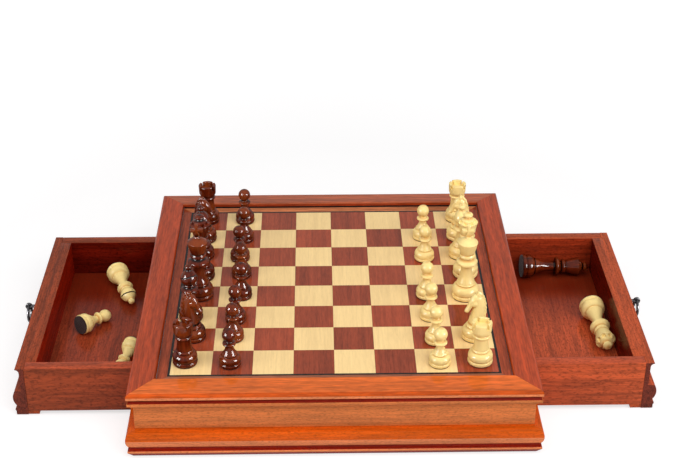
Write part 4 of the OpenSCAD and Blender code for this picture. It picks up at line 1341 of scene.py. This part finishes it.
def sawn(shape, man, men):
    """The bishop's mitre after a slanting saw cut from its front to its middle. The faces whose middles lie
    in the blade's own box are the cut's inside, and get the third material, a near-black felt that paints
    the shade in the cut."""
    r, half, hair = man.radius, men.slit / 2, 0.01 * MM
    to_slit = Matrix.Translation((0, 0, man.level(SLIT_LEVEL))) @ Matrix.Rotation(-SLIT_TILT, 4, "Y")
    body = mesh_object("cut_body", shape)
    blade = mesh_object("cut_blade", rounded_box((0, -r, -half), (r, r, half), 2 * hair).moved(to_slit))
    cut = body.modifiers.new("slit", "BOOLEAN")
    cut.operation, cut.solver, cut.object = "DIFFERENCE", "EXACT", blade
    cut_shape = modified(body)
    bpy.data.objects.remove(blade)
    back = np.array(to_slit.inverted())
    middles = cut_shape.middles() @ back[:3, :3].T + back[:3, 3]
    cut_shape.mark((np.abs(middles[:, 2]) < half + hair) & (middles[:, 0] > -hair), 2)
    return cut_shape


def bend_line(points, steps):
    """A smooth line through points: each coordinate is a Catmull-Rom curve of the point's number."""
    points = np.asarray(points, float)
    padded = np.concatenate([2 * points[:1] - points[1:2], points, 2 * points[-1:] - points[-2:-1]])
    t = np.linspace(0, len(points) - 1, steps)
    k = np.minimum(t.astype(int), len(points) - 2)
    f = (t - k)[:, None]
    a, b, c, d = padded[k], padded[k + 1], padded[k + 2], padded[k + 3]
    square, cube = 2 * a - 5 * b + 4 * c - d, 3 * b - a - 3 * c + d
    return 0.5 * (2 * b + (c - a) * f + square * f ** 2 + cube * f ** 3)


def limb(man, stations, squareness=2.3):
    """A limb of the horse: a tube whose stations give x and level of the middle, half depth and half
    width, all smoothed by one curve. The half depth lies across the line in the X and Z plane."""
    line = bend_line(stations, 36)
    r = man.radius
    centres = np.stack([line[:, 0] * r, np.zeros(len(line)), man.level(line[:, 1])], 1)
    along = np.gradient(centres, axis=0)
    along /= np.linalg.norm(along, axis=1, keepdims=True)
    across = np.stack([along[:, 2], np.zeros(len(line)), -along[:, 0]], 1)
    side = np.broadcast_to(np.array([0.0, 1.0, 0.0]), across.shape)
    return tube(centres, across, side, line[:, 2] * r, line[:, 3] * r, squareness)


def horse(man):
    """The horse's head: neck, head, cheeks, ears, mane and eyes fused by a voxel mesh and smoothed, then
    carved. Locks are a sine along the mane, the mouth is a bell curve across a slanting line, and the
    nostrils are bell curves round a point."""
    r = man.radius
    neck = limb(man, [(-0.02, -0.06, 0.62, 0.60), (-0.1, 0.12, 0.58, 0.5), (-0.22, 0.34, 0.52, 0.42),
                      (-0.26, 0.56, 0.44, 0.36), (-0.16, 0.76, 0.34, 0.3), (0.0, 0.86, 0.2, 0.22)])
    head = limb(man, [(-0.16, 0.86, 0.18, 0.2), (0.04, 0.8, 0.3, 0.29), (0.28, 0.68, 0.29, 0.27),
                      (0.52, 0.54, 0.2, 0.2), (0.7, 0.44, 0.19, 0.2), (0.79, 0.39, 0.13, 0.14)])
    parts = neck.joined(head)
    knob = revolved(arc((0, 0), 1, -90, 90, 14), 20)
    for y in (-1, 1):
        ear = limb(man, [(-0.13, 0.84, 0.11, 0.09), (-0.12, 0.92, 0.1, 0.08), (-0.1, 1.0, 0.015, 0.015)])
        parts = parts.joined(ear.moved(Matrix.Translation((0, y * 0.15 * r, 0))))
        cheek = Matrix.Diagonal((0.26 * r, 0.12 * r, 0.25 * r, 1))
        eye = Matrix.Diagonal((0.085 * r, 0.05 * r, 0.07 * r, 1))
        to_cheek = Matrix.Translation((0.12 * r, y * 0.23 * r, man.level(0.64)))
        to_eye = Matrix.Translation((0.26 * r, y * 0.255 * r, man.level(0.755)))
        parts = parts.joined(knob.moved(to_cheek @ cheek)).joined(knob.moved(to_eye @ eye))
    mane = limb(man, [(-0.62, 0.06, 0.18, 0.13), (-0.76, 0.3, 0.14, 0.12), (-0.74, 0.54, 0.14, 0.12),
                      (-0.56, 0.78, 0.15, 0.12), (-0.3, 0.92, 0.12, 0.11), (-0.08, 0.97, 0.05, 0.06)], 3.2)
    voxel = 0.42 * MM
    obj = mesh_object("horse", parts.joined(mane))
    remesh = obj.modifiers.new("fuse", "REMESH")
    remesh.mode, remesh.voxel_size = "VOXEL", voxel
    smooth = obj.modifiers.new("smooth", "SMOOTH")
    smooth.factor, smooth.iterations = 0.5, 4
    shape = modified(obj)
    p = shape.points
    lock_depth, cut_depth = 0.022 * r, 0.05 * r
    x, y, level = p[:, 0] / r, p[:, 1] / r, (p[:, 2] - man.level(0)) / (man.height - man.level(0))
    behind = np.clip((-0.42 - x + 0.35 * np.clip(level - 0.55, 0, 1)) / 0.12, 0, 1)
    locks = np.sin(level * 46 + x * 5) * behind * lock_depth
    mouth = np.exp(-(((level - 0.345 - 0.28 * (0.9 - x)) / 0.022) ** 2)) * np.clip((x - 0.42) / 0.12, 0, 1)
    nostril = np.exp(-((x - 0.74) ** 2 + ((level - 0.475) * 2.4) ** 2) / 0.0018) * (np.abs(y) > 0.06)
    inward = np.stack([0 * y, -np.sign(y), 0 * y], 1)
    p = p + inward * ((mouth + nostril) * cut_depth)[:, None]
    shape.points = p + np.stack([locks, np.sign(y) * locks * 0.8, 0 * locks], 1)
    return shape


def felt_shape(man, men):
    """The felt: a thin disc with a soft edge."""
    soft, hair = 0.2 * MM, 0.02 * MM
    r, t = man.radius - men.felt_inset - soft, men.felt_thickness
    edge = bead(r, soft, hair, t - hair, 6)
    return revolved(np.concatenate([[(0, 0), (r, 0)], edge, [(r, t), (0, t)]]), 48)


def grooves(points, man):
    """How deep a point lies in the outline's grooves, from 0 to 1: the outline's radius, averaged over a
    thirteenth of the man's height, less its own radius, as a share of the full depth. The men's materials
    paint shade in proportion to it."""
    profile = man.profile()
    full_depth = 0.9 * MM
    z = np.linspace(man.felt, man.height, 400)
    r = np.array([profile[np.abs(profile[:, 1] - h) < full_depth / 2, 0].max(initial=0) for h in z])
    window = 31
    spread = np.convolve(np.pad(r, window // 2, mode="edge"), np.ones(window) / window, mode="valid")
    return np.interp(points[:, 2], z, np.clip((spread - r) / full_depth, 0, 1))


class MenOperator(PieceOperator):
    """Makes all men of one kind."""

    kind = None
    shade_fills = ()

    def execute(self, context):
        men = context.scene.chess_men
        names = [n for n in frame["nodes"] if self.kind in n.split("_")]
        if not names:
            raise RuntimeError(f"the frame holds no {self.kind}")
        upright = [n for n in names if n not in LYING]
        low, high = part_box(upright[0])
        radius = max(high.x - low.x, high.y - low.y) / 2
        man = Man(self.kind, radius, high.z - low.z, men.felt_thickness)
        shape = self.carve(SHAPES[self.kind](man, men), man, men)
        # How deep each point lies in a groove, for the painted shade there
        groove = grooves(shape.points, man)
        felt = felt_shape(man, men)
        whole = shape.joined(felt, slot=1)
        groove = np.concatenate([groove, np.zeros(len(felt.points))])
        for name in names:
            self.stand(name, man, whole, groove)
        return {"FINISHED"}

    def carve(self, shape, man, men):
        """What is done to the turned shape afterwards."""
        return shape

    def stand(self, name, man, whole, groove):
        """Turns one man and puts it where its node is. A lying man's box shares its middle with the node's
        box; a standing man's axis runs through that middle, and its felt stands on the box's floor."""
        matrix = Matrix.Rotation(math.radians(TURNS.get(name, 0)), 4, "Z")
        if name in LYING:
            direction, roll = LYING[name]
            matrix = (Matrix.Rotation(math.radians(direction), 4, "Z")
                      @ Matrix.Rotation(math.pi / 2 + man.dip(), 4, "Y")
                      @ Matrix.Rotation(math.radians(roll), 4, "Z"))
        low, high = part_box(name)
        placed = whole.moved(matrix)
        if name in LYING:
            shift = np.array((low + high) / 2) - (placed.points.max(0) + placed.points.min(0)) / 2
        else:
            shift = np.array([(low.x + high.x) / 2, (low.y + high.y) / 2, low.z])
        placed = placed.moved(Matrix.Translation(shift))
        dark = "dark" in name.split("_")
        wood_name, slot = ("dark man", "dark_man") if dark else ("light man", "light_man")
        tones = [material(tone) for tone in (wood_name, "felt", *self.shade_fills)]
        body = frame["nodes"][name]["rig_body"]
        obj = place(name + "_turned", placed, whole.points[:, [2, 0, 1]], tones, body, [name], slot, sharp=50)
        store(obj, "groove", groove)
        polished().objects.link(obj)


class CHESS_OT_pawns(MenOperator, bpy.types.Operator):
    """Turns the pawns"""

    bl_idname = "chess.pawns"
    bl_label = "Pawns"
    kind = "pawn"


class CHESS_OT_rooks(MenOperator, bpy.types.Operator):
    """Turns the rooks and notches their parapets"""

    bl_idname = "chess.rooks"
    bl_label = "Rooks"
    kind = "rook"


class CHESS_OT_knights(MenOperator, bpy.types.Operator):
    """Turns the knights' feet and carves their heads"""

    bl_idname = "chess.knights"
    bl_label = "Knights"
    kind = "knight"

    def carve(self, shape, man, men):
        return shape.joined(horse(man))


class CHESS_OT_bishops(MenOperator, bpy.types.Operator):
    """Turns the bishops and saws their slits"""

    bl_idname = "chess.bishops"
    bl_label = "Bishops"
    kind = "bishop"
    shade_fills = ("slit",)

    def carve(self, shape, man, men):
        return sawn(shape, man, men)


class CHESS_OT_queens(MenOperator, bpy.types.Operator):
    """Turns the queens and notches their coronets"""

    bl_idname = "chess.queens"
    bl_label = "Queens"
    kind = "queen"


class CHESS_OT_kings(MenOperator, bpy.types.Operator):
    """Turns the kings and sets their crosses"""

    bl_idname = "chess.kings"
    bl_label = "Kings"
    kind = "king"


# ---------------------------------------------------------------- stage

# Sides and places of the lamps, the distances between which the floor's own light grows and its strength at
# both, and the greys of the floor's diffuse shares
SIDE_LIGHT_SIDE = 0.9
OVERHEAD_SIDE, OVERHEAD_PLACE = 1.6, (0, -0.35, 1.65)
FILL_SIDE, FILL_FRONT, FILL_HEIGHT = 1.2, -1.6, 1.5
GLOW_DISTANCE, GLOW_STRENGTH = (0.45, 1.3), (0.66, 1.0)
FLOOR_GREY, SHADOW_GREY = (0.9, 0.9, 0.9, 1), (0.42, 0.41, 0.41, 1)


class CHESS_OT_stage(PieceOperator, bpy.types.Operator):
    """Sets the camera, the lamps, the room's light and the pale floor"""

    bl_idname = "chess.stage"
    bl_label = "Stage"

    def execute(self, context):
        stage = context.scene.chess_stage
        context.scene.view_settings.view_transform = "Standard"
        self.camera(context, stage)
        self.lamps(context, stage)
        self.room(context, stage)
        self.floor(stage)
        return {"FINISHED"}

    def camera(self, context, stage):
        """A camera that looks along +Y, tilted down, turned to the right and leaning a little."""
        camera = bpy.data.cameras.new("camera")
        camera.sensor_fit, camera.sensor_width, camera.lens = "HORIZONTAL", 36, stage.lens
        camera.clip_start, camera.clip_end = 0.05, 50
        obj = bpy.data.objects.new("camera", camera)
        upright = Matrix.Rotation(math.pi / 2 - stage.camera_down, 4, "X")
        turn = Matrix.Rotation(-stage.camera_turn, 4, "Z")
        lean = Matrix.Rotation(stage.camera_roll, 4, "Z")
        obj.matrix_world = Matrix.Translation(stage.camera_place) @ turn @ upright @ lean
        context.scene.collection.objects.link(obj)
        context.scene.camera = obj

    def lamps(self, context, stage):
        """Broad light from overhead, from the front and from both sides, and two softboxes low beside the
        board that only the gloss of the men and of the metal shows."""
        target = Vector((0, 0, BOARD_Z))
        for label, x in SIDES.items():
            mirror = Vector((x, 1, 1))
            for kind, direction, side, power in (
                    ("softbox_", stage.lamp_direction, stage.lamp_side, stage.lamp_power),
                    ("side_light_", stage.side_direction, SIDE_LIGHT_SIDE, stage.side_power)):
                place_now = target + Vector(direction).normalized() * mirror * stage.lamp_distance
                lamp = self.lamp(context, kind + label, place_now, target, side, power)
                lamp.visible_glossy = kind == "softbox_"
                lamp.visible_diffuse = kind != "softbox_"
                if kind == "softbox_":
                    lamp.light_linking.receiver_collection = polished()
        overhead = self.lamp(context, "overhead", Vector(OVERHEAD_PLACE), target, OVERHEAD_SIDE,
                             stage.overhead_power)
        fill_place = Vector((stage.fill_right, FILL_FRONT, FILL_HEIGHT))
        fill = self.lamp(context, "front_fill", fill_place, target, FILL_SIDE, stage.fill_power)
        overhead.visible_glossy = fill.visible_glossy = False

    def lamp(self, context, name, origin, target, side, power):
        """A square area lamp that faces a point."""
        light = bpy.data.lights.new(name, "AREA")
        light.shape, light.size, light.energy = "SQUARE", side, power
        obj = bpy.data.objects.new(name, light)
        facing = (target - origin).to_track_quat("-Z", "Y").to_matrix().to_4x4()
        obj.matrix_world = Matrix.Translation(origin) @ facing
        context.scene.collection.objects.link(obj)
        return obj

    def seen(self, tree):
        """One number: 1 for rays from the camera, from gloss or through glass, and 0 for others."""
        path = tree.nodes.new("ShaderNodeLightPath")
        total = path.outputs["Is Camera Ray"]
        for output in ("Is Glossy Ray", "Is Transmission Ray"):
            larger = tree.nodes.new("ShaderNodeMath")
            larger.operation = "MAXIMUM"
            tree.links.new(total, larger.inputs[0])
            tree.links.new(path.outputs[output], larger.inputs[1])
            total = larger.outputs[0]
        return total

    def room(self, context, stage):
        """A white room: full white where it is seen, and a plain level of light elsewhere."""
        world = bpy.data.worlds.new("white room")
        context.scene.world = world
        world.use_nodes = True
        tree = world.node_tree
        background = tree.nodes["Background"]
        background.inputs["Color"].default_value = (1, 1, 1, 1)
        level = tree.nodes.new("ShaderNodeMapRange")
        tree.links.new(self.seen(tree), level.inputs["Value"])
        level.inputs["To Min"].default_value = stage.room_light
        level.inputs["To Max"].default_value = 1.0
        tree.links.new(level.outputs[0], background.inputs["Strength"])

    def floor(self, stage):
        """A white floor that keeps a soft shadow. Where it is seen, its own light grows to full white away
        from the box, and a grey diffuse share holds the shadow."""
        side = stage.floor / 2
        shape = np.array([(-side, -side, 0), (side, -side, 0), (side, side, 0), (-side, side, 0)])
        mesh = bpy.data.meshes.new("floor")
        mesh.from_pydata((shape - (0, 0, HAIR)).tolist(), [], [(0, 1, 2, 3)])
        obj = bpy.data.objects.new("floor", mesh)
        bpy.context.scene.collection.objects.link(obj)
        nodes = Nodes("floor")
        lit = nodes.add("BsdfDiffuse", {"Color": FLOOR_GREY})
        shadow_keeper = nodes.add("BsdfDiffuse", {"Color": SHADOW_GREY})
        away = nodes.add("VectorMath", {0: nodes.add("TexCoord").outputs["Object"]}, operation="LENGTH")
        strength = nodes.spread(away.outputs["Value"], *GLOW_DISTANCE, *GLOW_STRENGTH)
        own = nodes.add("Emission", {"Color": (1, 1, 1, 1), "Strength": strength})
        shown = nodes.add("AddShader", {0: shadow_keeper.outputs[0], 1: own.outputs[0]})
        mixed = nodes.add("MixShader", {0: self.seen(nodes.tree), 1: lit.outputs[0], 2: shown.outputs[0]})
        nodes.add("OutputMaterial", {"Surface": mixed.outputs[0]})
        mesh.materials.append(nodes.material)


# ---------------------------------------------------------------- panel and registration

PIECES = (
    CHESS_OT_stage, CHESS_OT_frame_rails, CHESS_OT_case, CHESS_OT_board, CHESS_OT_inner_panels,
    CHESS_OT_drawers, CHESS_OT_ring_pulls, CHESS_OT_pawns, CHESS_OT_rooks, CHESS_OT_knights,
    CHESS_OT_bishops, CHESS_OT_queens, CHESS_OT_kings,
)


class CHESS_PT_panel(bpy.types.Panel):
    """Lists the pieces of the chess box"""

    bl_idname = "CHESS_PT_panel"
    bl_label = "Chess box"
    bl_space_type = "VIEW_3D"
    bl_region_type = "UI"
    bl_category = "Chess box"

    def draw(self, context):
        for piece in PIECES:
            self.layout.operator(piece.bl_idname)
        for name in SETTINGS:
            group = getattr(context.scene, name)
            box = self.layout.box()
            for key in group.__annotations__:
                box.prop(group, key)


def register():
    """Registers the settings, the operators and the panel."""
    for name, group in SETTINGS.items():
        bpy.utils.register_class(group)
        setattr(bpy.types.Scene, name, PointerProperty(type=group))
    for piece in PIECES:
        bpy.utils.register_class(piece)
    bpy.utils.register_class(CHESS_PT_panel)


def unregister():
    """Takes all of them back."""
    bpy.utils.unregister_class(CHESS_PT_panel)
    for piece in reversed(PIECES):
        bpy.utils.unregister_class(piece)
    for name, group in reversed(SETTINGS.items()):
        delattr(bpy.types.Scene, name)
        bpy.utils.unregister_class(group)


def main():
    """Makes every piece in order."""
    register()
    for piece in PIECES:
        group, operator = piece.bl_idname.split(".")
        getattr(getattr(bpy.ops, group), operator)()
    bpy.context.view_layer.update()


if __name__ == "__main__":
    main()
